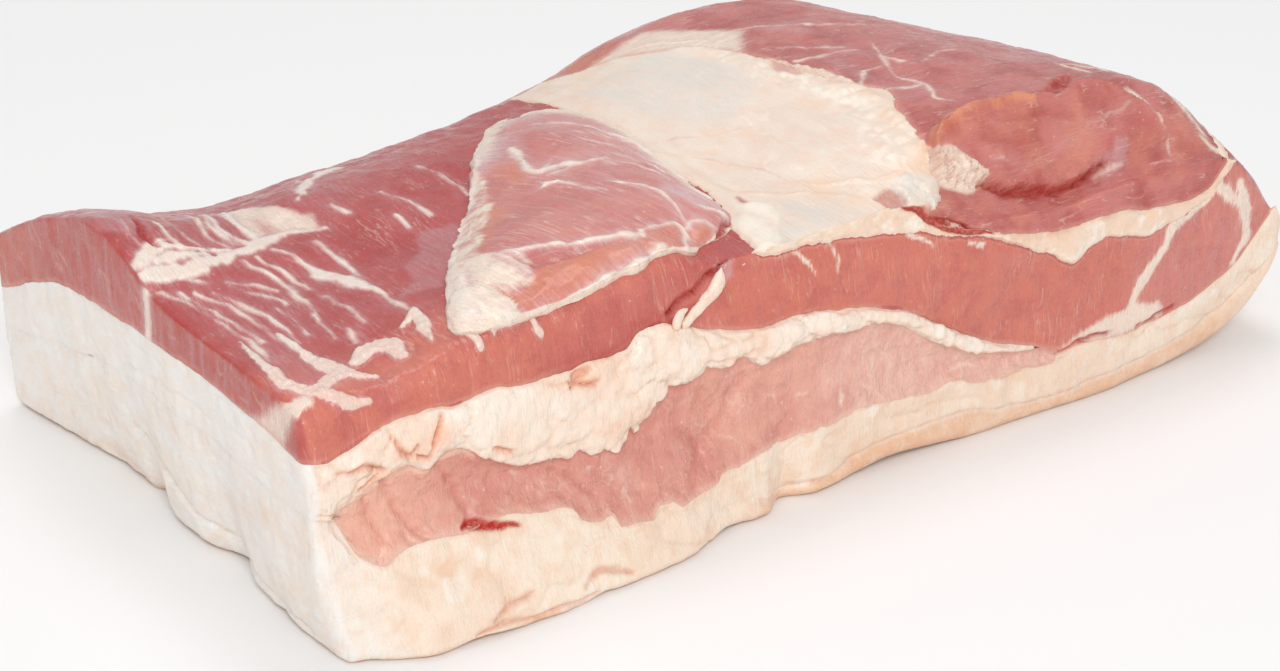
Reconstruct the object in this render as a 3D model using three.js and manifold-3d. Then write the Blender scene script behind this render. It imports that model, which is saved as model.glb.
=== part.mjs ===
// Slab of raw pork belly with its rind on, cut from the thick end near the shoulder.
//
// Millimetres, +Z up. The slab lies on its rind. X runs along the 0.31 m length, Y across the width,
// and the two sawn faces that show the layers look to -Y (the long side) and to -X (the end).
// Everything is drawn from the near corner of those two faces, with the rind's flat part at z = 0,
// and the finished group is then moved so that its origin is the bottom centre of its box.
//
// The meat is built the way it grows: one outer skin, which is the slab's true shape, is divided by
// five surfaces that run through it, one between each layer and the next. A loose flap of muscle
// lies on top.

import * as THREE from "three";
import { mergeVertices } from "three/addons/utils/BufferGeometryUtils.js";
import Module from "manifold-3d";

const wasm = await Module();
wasm.setup();

// ---------------------------------------------------------------- driving dimensions

const LENGTH = 316;
const WIDTH = 165;
const LAYER_GAP = 0.3;

// Plan radii of the four upright corners.
const CORNER_NEAR_LEFT = 3;
const CORNER_NEAR_RIGHT = 10;
const CORNER_FAR_RIGHT = 52;
const CORNER_FAR_LEFT = 3;

// How far in from a side its bulges still move the meat.
const SIDE_DEPTH = 42;

// Cells of the outer skin along, across and up, and of each dividing surface.
const SKIN_CELLS = { along: 30, across: 15, up: 9 };
const SHEET_CELLS = { along: 30, across: 13 };

// A dividing surface runs this far past the skin on all sides, and its solid reaches this deep.
const SHEET_MARGIN = 24;
const SHEET_FLOOR = -40;

// Moving a wall shifts its height, which shifts the wall again: passes until both agree.
const WALL_PASSES = 3;

// Share of each grid's spacing that is even. The rest crowds the lines towards the ends.
const EVEN_SHARE = 0.5;

// Crown of the slab: heights along the length, on lines at these distances from the long side.
const CROWN = [
  { y: 5, rail: [[-12, 64], [16, 62], [40, 66], [60, 68], [85, 72], [100, 74], [112, 69], [146, 69.5],
    [168, 70], [182, 66], [200, 61], [225, 59], [262, 60], [280, 60], [293, 56.5], [304, 45], [316, 27]] },
  { y: 25, rail: [[-12, 64], [16, 63], [40, 66], [60, 68], [90, 70], [130, 70], [150, 71], [170, 74],
    [187, 78], [206, 82], [242, 82], [262, 81], [278, 76], [290, 67.5], [303, 52], [316, 31]] },
  { y: 60, rail: [[-12, 65], [30, 64], [60, 66], [100, 68], [130, 70], [150, 73], [175, 79], [200, 83],
    [225, 83.5], [250, 81], [270, 77], [286, 70.5], [301, 56], [316, 33]] },
  { y: 100, rail: [[-12, 76], [5, 73], [20, 68], [35, 66], [60, 68], [100, 69], [130, 71], [150, 75.5],
    [175, 82], [200, 84.5], [225, 82.5], [250, 77], [270, 70], [286, 61], [301, 48], [316, 31]] },
  { y: 135, rail: [[-12, 66], [5, 65], [20, 61], [40, 60], [60, 62], [100, 64], [130, 66.5], [150, 72.5],
    [175, 82], [200, 84], [225, 81], [245, 74], [262, 66], [282, 53], [304, 37]] },
  { y: 165, rail: [[-12, 51], [20, 50], [46, 46], [80, 49], [106, 51], [135, 53], [160, 61], [180, 68],
    [205, 70], [225, 65], [245, 55], [270, 43], [304, 32]] },
];

// The rind end lifts off the board like the bow of a boat.
const BOW = [[238, 0], [262, 0.6], [281, 2], [298, 6], [308, 14.5], [316, 23]];

// Outline of the long side where it meets the board: outward is positive.
const LONG_SIDE_FOOT = [[-4, 3], [4, 6], [20, 14], [45, 14], [72, 10.8], [94, 10.4], [110, 5.3],
  [121, 4.5], [130, -1.5], [140, 2.1], [155, 0.7], [205, 0.5], [240, 1.6], [262, 0], [300, -2]];
const FOOT_HEIGHT = 30;
const FOOT_FLARE = 1.6;

// The long side above its foot leans back: set-back against height.
const LONG_SIDE_LEAN = [[0, 0], [48, 0.5], [57, 2], [75, 8], [90, 14]];

// Outline of the sawn end where it meets the board, against the distance from the long side.
const SAWN_END_FOOT = [[-4, 2.3], [8, 0.5], [17, -0.5], [35, 0.5], [49, 4.5], [62, -1], [78, -1.5],
  [92, 3], [100, 0], [111, -0.4], [125, -2.8], [143, -7], [167, -11]];
const SAWN_END_TOP_NEAR = -3;
const SAWN_END_TOP_FAR = -11;
const SAWN_END_STRAIGHTENS = 55;

const FAR_SIDE_BULGE = 2.5;
const FAR_SIDE_MIDDLE = 24;

// Fat swells out of the long side between the leans once it is cut.
const SEAM_SWELL = 2.2;
const LEAN_SHRINK = 1.6;
const THINNEST_SWELLING_BAND = 4;

// Top of the back fat, which carries the rind.
const BACK_FAT_TOP = [
  { y: 0, rail: [[-12, 36], [2, 36], [8, 26.5], [26, 25.5], [54, 23], [76, 14.7], [93, 14.6],
    [118, 19.6], [150, 20], [201, 18.5], [222, 19], [249, 16], [270, 18], [291, 25.5], [302, 36],
    [314, 48]] },
  { y: 75, rail: [[-12, 38], [8, 38], [14, 26], [70, 20], [90, 16], [150, 18], [226, 19], [270, 19],
    [291, 27], [302, 36], [314, 48]] },
  { y: 165, rail: [[-12, 25], [10, 25], [17, 19], [70, 16], [130, 15], [190, 18], [226, 20], [270, 20],
    [300, 30]] },
];

// Top of the lower lean, a lens that wedges out at both ends.
const LOWER_LEAN_TOP = [
  { y: 0, rail: [[-12, 4], [1, 28], [5, 42], [12, 46], [26, 46.5], [45, 41], [60, 35.6], [78, 34.7],
    [90, 43], [106, 48], [131, 44], [163, 41], [177, 33], [199, 23.5], [222, 18.5], [236, 8], [314, -10]] },
  { y: 75, rail: [[-12, 4], [6, 28], [12, 40], [30, 41], [60, 36], [110, 40], [160, 38], [200, 27],
    [224, 18.5], [238, 8], [314, -10]] },
  { y: 165, rail: [[-12, 0], [8, 18], [15, 27], [60, 29], [110, 32], [160, 31], [200, 25], [224, 19],
    [238, 8], [314, -10]] },
];

// Top of the seam fat between the two leans.
const SEAM_FAT_TOP = [
  { y: 0, rail: [[-12, 51.5], [2, 51.7], [19, 55], [45, 57.8], [78, 59], [90, 62.4], [98, 65.5],
    [105, 58], [120, 52], [132, 51.4], [164, 45.7], [182, 35.5], [200, 26.3], [219, 19], [233, 6],
    [314, -20]] },
  { y: 60, rail: [[-12, 54], [45, 54], [90, 55], [130, 52], [165, 46], [200, 31], [222, 19], [236, 6],
    [314, -20]] },
  { y: 115, rail: [[-12, 52.5], [30, 48], [70, 48], [130, 50], [170, 46], [205, 31], [226, 19],
    [240, 6], [314, -20]] },
  { y: 165, rail: [[-12, 36], [20, 34], [46, 32], [80, 35], [106, 38], [137, 39], [160, 40], [190, 34],
    [226, 20], [240, 6], [314, -20]] },
];

// Top of the upper lean where the cap fat covers it. West of the cap it rises clear of the slab.
const UPPER_LEAN_TOP = [
  { y: 2, rail: [[-12, 120], [88, 104], [96, 80], [103, 68], [112, 66], [144, 66.5], [166, 63.5],
    [187, 56], [201, 51], [217, 42.5], [233, 43], [262, 41], [276, 46], [285, 54], [296, 64], [316, 90]] },
  { y: 20, rail: [[-12, 120], [112, 104], [121, 80], [128, 68], [144, 68], [166, 66], [187, 62],
    [201, 57], [217, 49], [233, 47], [262, 45], [283, 50], [298, 61], [316, 84]] },
  { y: 60, rail: [[-12, 120], [122, 104], [132, 78], [139, 67], [150, 68.5], [175, 72], [186, 72.5],
    [196, 69], [206, 63], [228, 54], [257, 49], [285, 49], [300, 53], [316, 62]] },
  { y: 95, rail: [[-12, 120], [124, 104], [134, 78], [141, 67], [150, 68.5], [168, 73], [179, 74],
    [192, 68], [204, 62], [225, 53], [257, 49], [285, 47], [316, 50]] },
  { y: 120, rail: [[-12, 115], [124, 100], [134, 78], [142, 66], [152, 67.5], [162, 70], [172, 68],
    [184, 61], [215, 52], [257, 48], [285, 45], [316, 45]] },
  { y: 137, rail: [[-12, 115], [120, 100], [132, 78], [140, 64], [150, 65], [160, 59], [200, 52],
    [245, 47], [285, 42], [316, 40]] },
  { y: 165, rail: [[-12, 110], [126, 84], [138, 58], [146, 49], [160, 46], [190, 44], [240, 39], [300, 35]] },
];

// Bottom of the round muscle. West of the muscle it rises clear of the slab.
const ROUND_MUSCLE_BOTTOM = [
  { y: 4, rail: [[-12, 130], [148, 104], [163, 80], [169, 71], [178, 65], [189, 59.5], [203, 54.5],
    [225, 50.5], [243, 52], [263, 50], [278, 51], [285, 56], [294, 66], [316, 104]] },
  { y: 25, rail: [[-12, 130], [172, 104], [184, 87], [191, 79], [203, 66], [225, 56], [260, 52],
    [283, 55], [298, 66], [316, 90]] },
  { y: 40, rail: [[-12, 130], [190, 104], [198, 90], [204, 82], [214, 70], [232, 58], [260, 54],
    [284, 55], [300, 64], [316, 80]] },
  { y: 60, rail: [[-12, 130], [180, 104], [189, 90], [195, 81.5], [206, 70], [228, 59], [257, 55],
    [285, 54], [302, 59], [316, 66]] },
  { y: 95, rail: [[-12, 130], [172, 106], [182, 90], [188, 82], [200, 70], [225, 58], [257, 54],
    [285, 52], [316, 54]] },
  { y: 120, rail: [[-12, 125], [156, 104], [165, 87], [171, 78.5], [184, 68], [215, 57], [257, 53],
    [285, 50], [316, 49]] },
  { y: 137, rail: [[-12, 120], [134, 100], [144, 84], [151, 73], [163, 63], [200, 56], [245, 52],
    [285, 47], [316, 44]] },
  { y: 165, rail: [[-12, 115], [128, 90], [140, 66], [147, 56], [160, 52], [190, 49], [240, 44], [316, 38]] },
];
const LEAST_CAP_FAT = 1.8;

// The flap: its outline on the crown, counter-clockwise from its near tip, and how it stands up.
const FLAP_OUTLINE = [[40, 10], [58, 7], [86, 8], [112, 13], [127, 25], [133, 42], [138, 68],
  [140, 96], [134, 118], [122, 123], [100, 99], [80, 70], [59, 43]];
const FLAP_HEART = [106, 52];
const FLAP_HEIGHT = 9;
const FLAP_EDGE_HEIGHT = 1.6;
const FLAP_CELLS = { round: 44, out: 8 };
const FLAP_SUNK = 12;
const FLAP_ROUNDNESS = 2.4;

// Colours and finish of the five kinds of surface.
const FINISH = {
  fat: { color: 0xf2e4d6, roughness: 0.45 },
  seam: { color: 0xf4e3d0, roughness: 0.42 },
  palelean: { color: 0xdca097, roughness: 0.5 },
  lean: { color: 0xc97a72, roughness: 0.42 },
  flap: { color: 0xd08a80, roughness: 0.4 },
};

// ---------------------------------------------------------------- curves and surfaces

const clamp = THREE.MathUtils.clamp;
const lerp = THREE.MathUtils.lerp;

// A smooth curve through [x, y] points that never overshoots them, level outside them.
function curve(points) {
  const last = points.length - 1;
  const rise = points.slice(1).map(([x, y], i) => (y - points[i][1]) / (x - points[i][0]));
  const slope = points.map((_, i) => {
    if (i === 0) return rise[0];
    if (i === last) return rise[last - 1];
    const turns = rise[i - 1] * rise[i] <= 0;
    return turns ? 0 : (2 * rise[i - 1] * rise[i]) / (rise[i - 1] + rise[i]);
  });
  return (x) => {
    const at = clamp(x, points[0][0], points[last][0]);
    const i = clamp(points.findIndex(([px]) => px > at) - 1, -1, last - 1);
    const k = i < 0 ? last - 1 : i;
    const step = points[k + 1][0] - points[k][0];
    const t = (at - points[k][0]) / step;
    const s = 1 - t;
    return (1 + 2 * t) * s * s * points[k][1] + t * s * s * step * slope[k]
      + t * t * (3 - 2 * t) * points[k + 1][1] - t * t * s * step * slope[k + 1];
  };
}

// A height over the plan, lofted across the width through rails that run along the length.
function loft(rails) {
  const lines = rails.map(({ y, rail }) => ({ y, height: curve(rail) }));
  return (x, y) => {
    const across = curve(lines.map((line) => [line.y, line.height(x)]));
    return across(y);
  };
}

const fade = (distance, reach) => clamp(1 - distance / reach, 0, 1) ** 2;

const crown = loft(CROWN);
const bow = curve(BOW);
const longSideFoot = curve(LONG_SIDE_FOOT);
const longSideLean = curve(LONG_SIDE_LEAN);
const sawnEndFoot = curve(SAWN_END_FOOT);
const backFatTop = loft(BACK_FAT_TOP);
const lowerLeanTop = loft(LOWER_LEAN_TOP);
const seamFatTop = loft(SEAM_FAT_TOP);
const upperLeanTop = loft(UPPER_LEAN_TOP);
const roundMuscleBottom = loft(ROUND_MUSCLE_BOTTOM);

// How far the long side stands out at a height: its foot, its lean and what its layers add.
function longSide(x, z) {
  const foot = longSideFoot(x) * clamp(1 - z / FOOT_HEIGHT, 0, 1) ** FOOT_FLARE;
  const low = Math.max(backFatTop(x, 0), lowerLeanTop(x, 0));
  const high = Math.max(low, seamFatTop(x, 0));
  const seam = SEAM_SWELL * bump(z, low, high);
  const shrink = LEAN_SHRINK * bump(z, backFatTop(x, 0), low);
  return foot - longSideLean(z) + seam - shrink;
}

// One in the middle of a band of heights, nothing at its edges or where it is thin.
function bump(z, low, high) {
  const half = (high - low) / 2;
  if (2 * half < THINNEST_SWELLING_BAND) return 0;
  return clamp(1 - ((z - low - half) / half) ** 2, 0, 1);
}

// How far the sawn end stands out at a height: a ragged foot that straightens upwards.
function sawnEnd(y, z) {
  const top = lerp(SAWN_END_TOP_NEAR, SAWN_END_TOP_FAR, clamp(y / WIDTH, 0, 1));
  const t = clamp(z / SAWN_END_STRAIGHTENS, 0, 1);
  return lerp(sawnEndFoot(y), top, t * (2 - t));
}

function farSide(z) {
  return FAR_SIDE_BULGE * Math.exp(-(((z - FAR_SIDE_MIDDLE) / FAR_SIDE_MIDDLE) ** 2));
}

// ---------------------------------------------------------------- solids

// Spreads -1..1 over a span, with the steps closer together at both ends.
function spread(a, from, to) {
  const eased = EVEN_SHARE * a + (1 - EVEN_SHARE) * Math.sin((a * Math.PI) / 2);
  return lerp(from, to, (eased + 1) / 2);
}

// Rounds the plan's corners: the square of side r at a corner is drawn in to a quarter disc.
function roundCorners(x, y) {
  const corners = [
    [0, 0, CORNER_NEAR_LEFT], [LENGTH, 0, CORNER_NEAR_RIGHT],
    [LENGTH, WIDTH, CORNER_FAR_RIGHT], [0, WIDTH, CORNER_FAR_LEFT],
  ];
  for (const [cornerX, cornerY, r] of corners) {
    const p = 1 - Math.abs(x - cornerX) / r;
    const q = 1 - Math.abs(y - cornerY) / r;
    if (p > 0 && q > 0) {
      const inX = r * (1 - p * Math.sqrt(1 - (q * q) / 2));
      const inY = r * (1 - q * Math.sqrt(1 - (p * p) / 2));
      return [Math.abs(cornerX - inX), Math.abs(cornerY - inY)];
    }
  }
  return [x, y];
}

// A closed box geometry of cells whose every point is moved by place(a, b, c), each -1 to 1.
function warpedBox(along, across, up, place) {
  const box = new THREE.BoxGeometry(2, 2, 2, along, across, up);
  box.deleteAttribute("normal");
  box.deleteAttribute("uv");
  const shape = mergeVertices(box);
  const at = shape.getAttribute("position");
  for (let i = 0; i < at.count; i++) {
    at.setXYZ(i, ...place(at.getX(i), at.getY(i), at.getZ(i)));
  }
  return shape;
}

function solid(shape) {
  return new wasm.Manifold(new wasm.Mesh({
    numProp: 3,
    vertProperties: new Float32Array(shape.getAttribute("position").array),
    triVerts: new Uint32Array(shape.index.array),
  }));
}

// The outer skin of the whole slab.
function slabSkin() {
  const { along, across, up } = SKIN_CELLS;
  return solid(warpedBox(along, across, up, (a, b, c) => {
    const [planX, planY] = roundCorners(spread(a, 0, LENGTH), spread(b, 0, WIDTH));
    const share = (c + 1) / 2;
    let x = planX;
    let y = planY;
    let z = lerp(bow(x), crown(x, y), share);
    for (let pass = 0; pass < WALL_PASSES; pass++) {
      y = planY - longSide(planX, z) * fade(planY, SIDE_DEPTH)
        + farSide(z) * fade(WIDTH - planY, SIDE_DEPTH);
      x = planX + sawnEnd(planY, z) * fade(planX, SIDE_DEPTH);
      z = lerp(bow(x), crown(x, y), share);
    }
    return [x, y, z];
  }));
}

// Everything under a surface that runs through the slab.
function under(surface) {
  const { along, across } = SHEET_CELLS;
  return solid(warpedBox(along, across, 1, (a, b, c) => {
    const x = spread(a, -SHEET_MARGIN, LENGTH + SHEET_MARGIN);
    const y = spread(b, -SHEET_MARGIN, WIDTH + SHEET_MARGIN);
    return [x, y, c > 0 ? surface(x, y) : SHEET_FLOOR];
  }));
}

// The largest piece of a cut solid: scraps where two surfaces meet are dropped.
function largest(cut) {
  const pieces = cut.decompose();
  return pieces.reduce((best, piece) => (piece.volume() > best.volume() ? piece : best));
}

// The flap: a low dome over its outline, sunk into the slab, whose top it will be cut to.
function flapDome() {
  const edge = new THREE.CatmullRomCurve3(
    FLAP_OUTLINE.map(([x, y]) => new THREE.Vector3(x, y, 0)), true);
  const profile = [new THREE.Vector2(0, -1), new THREE.Vector2(1, -1)];
  for (let i = 0; i <= FLAP_CELLS.out; i++) {
    const out = Math.cos((i / FLAP_CELLS.out) * (Math.PI / 2));
    profile.push(new THREE.Vector2(i === FLAP_CELLS.out ? 0 : out, 1));
  }
  const lathe = new THREE.LatheGeometry(profile, FLAP_CELLS.round);
  lathe.deleteAttribute("normal");
  lathe.deleteAttribute("uv");
  const at = lathe.getAttribute("position");
  for (let i = 0; i < at.count; i++) {
    const out = Math.hypot(at.getX(i), at.getZ(i));
    const turn = Math.atan2(-at.getX(i), -at.getZ(i)) / (2 * Math.PI) + 0.5;
    const rim = edge.getPoint(turn % 1);
    const x = lerp(FLAP_HEART[0], rim.x, out);
    const y = lerp(FLAP_HEART[1], rim.y, out);
    const swell = Math.sqrt(1 - Math.min(out, 1) ** FLAP_ROUNDNESS);
    const dome = lerp(FLAP_EDGE_HEIGHT, FLAP_HEIGHT, swell);
    const z = crown(x, y) + (at.getY(i) > 0 ? dome : -FLAP_SUNK);
    at.setXYZ(i, x, y, z);
  }
  return solid(mergeVertices(lathe, 1e-3));
}

// ---------------------------------------------------------------- assembly

const tops = {
  back_fat: backFatTop,
  lower_lean: (x, y) => Math.max(backFatTop(x, y), lowerLeanTop(x, y)),
  seam_fat: (x, y) => Math.max(backFatTop(x, y), lowerLeanTop(x, y), seamFatTop(x, y)),
  upper_lean: upperLeanTop,
  cap_fat: (x, y) => Math.max(upperLeanTop(x, y) + LEAST_CAP_FAT, roundMuscleBottom(x, y)),
};
const finishes = {
  back_fat: "fat",
  lower_lean: "palelean",
  seam_fat: "seam",
  upper_lean: "lean",
  cap_fat: "seam",
  round_lean: "lean",
  flap_lean: "flap",
};

const belly = new THREE.Group();
belly.name = "pork_belly_slab";

function addNode(name, piece) {
  const made = piece.getMesh();
  const shape = new THREE.BufferGeometry();
  shape.setAttribute("position", new THREE.BufferAttribute(made.vertProperties, 3));
  shape.setIndex(new THREE.BufferAttribute(made.triVerts, 1));
  const mesh = new THREE.Mesh(shape, new THREE.MeshStandardMaterial(FINISH[finishes[name]]));
  mesh.name = name;
  belly.add(mesh);
}

let rest = slabSkin();
for (const [name, top] of Object.entries(tops)) {
  addNode(name, largest(rest.intersect(under((x, y) => top(x, y) - LAYER_GAP / 2))));
  rest = rest.subtract(under((x, y) => top(x, y) + LAYER_GAP / 2));
}
addNode("round_lean", largest(rest));

addNode("flap_lean", largest(flapDome().subtract(slabSkin().translate([0, 0, LAYER_GAP]))));

const box = new THREE.Box3().setFromObject(belly);
const middle = box.getCenter(new THREE.Vector3());
belly.position.set(-middle.x, -middle.y, -box.min.z);

export default belly;
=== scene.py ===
"""Slab of raw pork belly with its rind on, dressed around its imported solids.

Lengths are millimetres from the near lower corner of the two sawn faces: x along the long side,
y across, z up. They become metres in the shared frame when a mesh is made.
"""
import logging
import math
from dataclasses import dataclass, field
from enum import Enum
from functools import partialmethod
from typing import Callable, Optional, Sequence

import bpy
import numpy as np
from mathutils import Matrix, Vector


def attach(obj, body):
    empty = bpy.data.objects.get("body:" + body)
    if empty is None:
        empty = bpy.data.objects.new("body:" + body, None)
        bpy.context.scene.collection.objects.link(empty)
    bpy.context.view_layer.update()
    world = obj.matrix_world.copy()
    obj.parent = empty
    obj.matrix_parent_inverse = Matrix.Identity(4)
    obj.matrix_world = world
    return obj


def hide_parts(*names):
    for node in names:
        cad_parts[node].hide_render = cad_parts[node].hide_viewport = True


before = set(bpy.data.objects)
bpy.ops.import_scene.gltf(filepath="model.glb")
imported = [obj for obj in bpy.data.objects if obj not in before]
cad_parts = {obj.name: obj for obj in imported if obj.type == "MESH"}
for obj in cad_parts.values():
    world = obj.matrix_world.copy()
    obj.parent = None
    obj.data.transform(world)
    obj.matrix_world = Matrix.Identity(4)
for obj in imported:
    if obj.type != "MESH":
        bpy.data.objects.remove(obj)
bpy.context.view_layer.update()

Array = np.ndarray
Pair = tuple[Array, Array]
Row = Sequence[float]
Height = Callable[[Array, Array], Array]

LOG = logging.getLogger("belly")

# The slab's own size, and where its near corner lies in the shared frame.
LENGTH = 316
WIDTH = 165
MIDDLE_X = 152.655
MIDDLE_Y = 76.75
MM = 0.001
SHARP_FROM = 1.05

# Plan radii of the upright corners: near left, near right, far right, far left.
CORNERS = ((0, 0, 3), (LENGTH, 0, 10), (LENGTH, WIDTH, 52), (0, WIDTH, 3))

SIDE_DEPTH = 42
FOOT_HEIGHT = 33
FOOT_FLARE = 1.15
SAWN_END_TOP = (-3, -11)
SAWN_END_STRAIGHTENS = 55
FAR_SIDE_BULGE = 2.5
FAR_SIDE_MIDDLE = 24.0
SEAM_SWELL = 2.2
LEAN_SHRINK = 1.6
THIN_BAND = 4
LEAST_CAP_FAT = 1.8
NEAR_DEPTH = (5, 20)
FLAP_HEART = (106, 52)
FLAP_HEIGHT = 9
FLAP_EDGE_HEIGHT = 1.6
FLAP_ROUNDNESS = 2.4

# Curves are flat rows of pairs (position, value). A loft has one row for each rail: the rail's
# distance from the long side, then its pairs (x, height).
CROWN = (
    (5, -12, 64, 16, 62, 40, 66, 60, 68, 85, 72, 100, 74, 112, 69, 146, 69.5, 168, 70, 182, 66, 200, 61,
     225, 59, 262, 60, 280, 60, 293, 56.5, 304, 45, 316, 27),
    (25, -12, 64, 16, 63, 40, 66, 60, 68, 90, 70, 130, 70, 150, 71, 170, 74, 187, 78, 206, 82, 242, 82,
     262, 81, 278, 76, 290, 67.5, 303, 52, 316, 31),
    (60, -12, 65, 30, 64, 60, 66, 100, 68, 130, 70, 150, 73, 175, 79, 200, 83, 225, 83.5, 250, 81, 270,
     77, 286, 70.5, 301, 56, 316, 33),
    (100, -12, 76, 5, 73, 20, 68, 35, 66, 60, 68, 100, 69, 130, 71, 150, 75.5, 175, 82, 200, 84.5, 225,
     83.8, 250, 79, 270, 72, 286, 62, 301, 48, 316, 31),
    (135, -12, 66, 5, 64.5, 20, 59.5, 40, 57.5, 60, 59.5, 100, 63, 130, 66.5, 150, 71, 175, 79.5, 200,
     83.5, 225, 83, 245, 77, 262, 69, 282, 55, 304, 37),
    (165, -12, 51, 6, 49.5, 22, 45, 46, 39.5, 80, 43.5, 106, 48, 135, 53, 160, 58.5, 180, 64.5, 205, 68,
     225, 65, 245, 55, 270, 43, 304, 32),
)
BOW = (134, 0, 150, 0.8, 166, 2.4, 180, 1.4, 196, 0, 238, 0, 262, 0.6, 281, 2.4, 298, 8.5, 308, 19.5, 316,
    30)
LONG_SIDE_FOOT = (-4, 3, 4, 6, 20, 14, 46, 15.5, 72, 13, 94, 11.4, 110, 5.3, 121, 4.5, 130, -1.5, 140,
    2.1, 155, 0.7, 205, 0.5, 240, 1.6, 262, 0, 300, -2)
LONG_SIDE_LEAN = (0, 0, 48, 0.5, 57, 2, 75, 8, 90, 14)
SAWN_END_FOOT = (-4, 2.3, 8, 0.5, 17, -0.5, 35, 0.5, 49, 4.5, 62, -1, 78, -1.5, 92, 3, 100, 0, 111, -0.4,
    125, -2.8, 143, -7, 167, -11)
BACK_FAT_TOP = (
    (0, -12, 36, 2, 36, 8, 26.5, 26, 25.5, 54, 23, 76, 14.7, 93, 14.6, 118, 19.6, 150, 20, 201, 18.5, 222,
     19, 249, 16, 270, 18, 291, 25.5, 302, 36, 314, 48),
    (75, -12, 38, 8, 38, 14, 26, 70, 20, 90, 16, 150, 18, 226, 19, 270, 19, 291, 27, 302, 36, 314, 48),
    (165, -12, 25, 10, 25, 17, 19, 70, 16, 130, 15, 190, 18, 226, 20, 270, 20, 300, 30),
)
LOWER_LEAN_TOP = (
    (0, -12, 4, 1, 28, 5, 42, 12, 46, 26, 46.5, 45, 41, 60, 35.6, 78, 34.7, 90, 43, 106, 48, 131, 44, 163,
     41, 177, 33, 199, 23.5, 222, 18.5, 236, 8, 314, -10),
    (75, -12, 4, 6, 28, 12, 40, 30, 41, 60, 36, 110, 40, 160, 38, 200, 27, 224, 18.5, 238, 8, 314, -10),
    (165, -12, 0, 8, 18, 15, 27, 60, 29, 110, 32, 160, 31, 200, 25, 224, 19, 238, 8, 314, -10),
)
SEAM_FAT_TOP = (
    (0, -12, 51.5, 2, 51.7, 19, 55, 45, 57.8, 78, 59, 90, 62.4, 98, 65.5, 105, 58, 120, 52, 132, 51.4,
     164, 45.7, 182, 35.5, 200, 26.3, 219, 19, 233, 6, 314, -20),
    (60, -12, 54, 45, 54, 90, 55, 130, 52, 165, 46, 200, 31, 222, 19, 236, 6, 314, -20),
    (115, -12, 52.5, 30, 48, 70, 48, 130, 50, 170, 46, 205, 31, 226, 19, 240, 6, 314, -20),
    (165, -12, 36, 20, 34, 46, 32, 80, 35, 106, 38, 137, 39, 160, 40, 190, 34, 226, 20, 240, 6, 314, -20),
)
UPPER_LEAN_TOP = (
    (2, -12, 120, 100, 104, 106, 80, 112, 69, 119, 67, 144, 66.5, 166, 63.5, 187, 56, 201, 51, 217, 42.5,
     233, 43, 262, 41, 276, 46, 285, 54, 296, 64, 316, 90),
    (20, -12, 120, 114, 104, 122, 80, 129, 68, 144, 68, 166, 66, 187, 62, 201, 57, 217, 49, 233, 47, 262,
     45, 283, 50, 298, 61, 316, 84),
    (60, -12, 120, 122, 104, 132, 78, 139, 67, 150, 68.5, 175, 72, 186, 72.5, 196, 69, 206, 63, 228, 54,
     257, 49, 285, 49, 300, 53, 316, 62),
    (95, -12, 120, 124, 104, 134, 78, 141, 67, 150, 68.5, 168, 73, 179, 74, 192, 68, 204, 62, 225, 53,
     257, 49, 285, 47, 316, 50),
    (120, -12, 115, 124, 100, 134, 78, 142, 66, 152, 67.5, 162, 70, 172, 68, 184, 61, 215, 52, 257, 48,
     285, 45, 316, 45),
    (137, -12, 115, 120, 100, 132, 78, 140, 64, 150, 65, 160, 59, 200, 52, 245, 47, 285, 42, 316, 40),
    (165, -12, 110, 126, 84, 138, 58, 146, 49, 160, 46, 190, 44, 240, 39, 300, 35),
)
ROUND_MUSCLE_BOTTOM = (
    (4, -12, 130, 148, 104, 163, 80, 169, 71, 178, 65, 189, 59.5, 203, 54.5, 225, 50.5, 243, 52, 263, 50,
     278, 51, 285, 56, 294, 66, 316, 104),
    (25, -12, 130, 172, 104, 184, 87, 191, 79, 203, 66, 225, 56, 260, 52, 283, 55, 298, 66, 316, 90),
    (40, -12, 130, 182, 104, 190, 90, 196, 82, 207, 70, 228, 58, 259, 54, 284, 55, 300, 64, 316, 80),
    (50, -12, 130, 190, 104, 197, 90, 202, 82, 212, 70, 230, 58.5, 258, 54.5, 284, 54.5, 301, 61, 316,
     73),
    (60, -12, 130, 180, 104, 189, 90, 195, 81.5, 206, 70, 228, 59, 257, 55, 285, 54, 302, 59, 316, 66),
    (95, -12, 130, 172, 106, 182, 90, 188, 82, 200, 70, 225, 58, 257, 54, 285, 52, 316, 54),
    (120, -12, 125, 156, 104, 165, 87, 171, 78.5, 184, 68, 215, 57, 257, 53, 285, 50, 316, 49),
    (137, -12, 120, 134, 100, 144, 84, 151, 73, 163, 63, 200, 56, 245, 52, 285, 47, 316, 44),
    (165, -12, 115, 128, 90, 140, 66, 147, 56, 160, 52, 190, 49, 240, 44, 316, 38),
)
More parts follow.
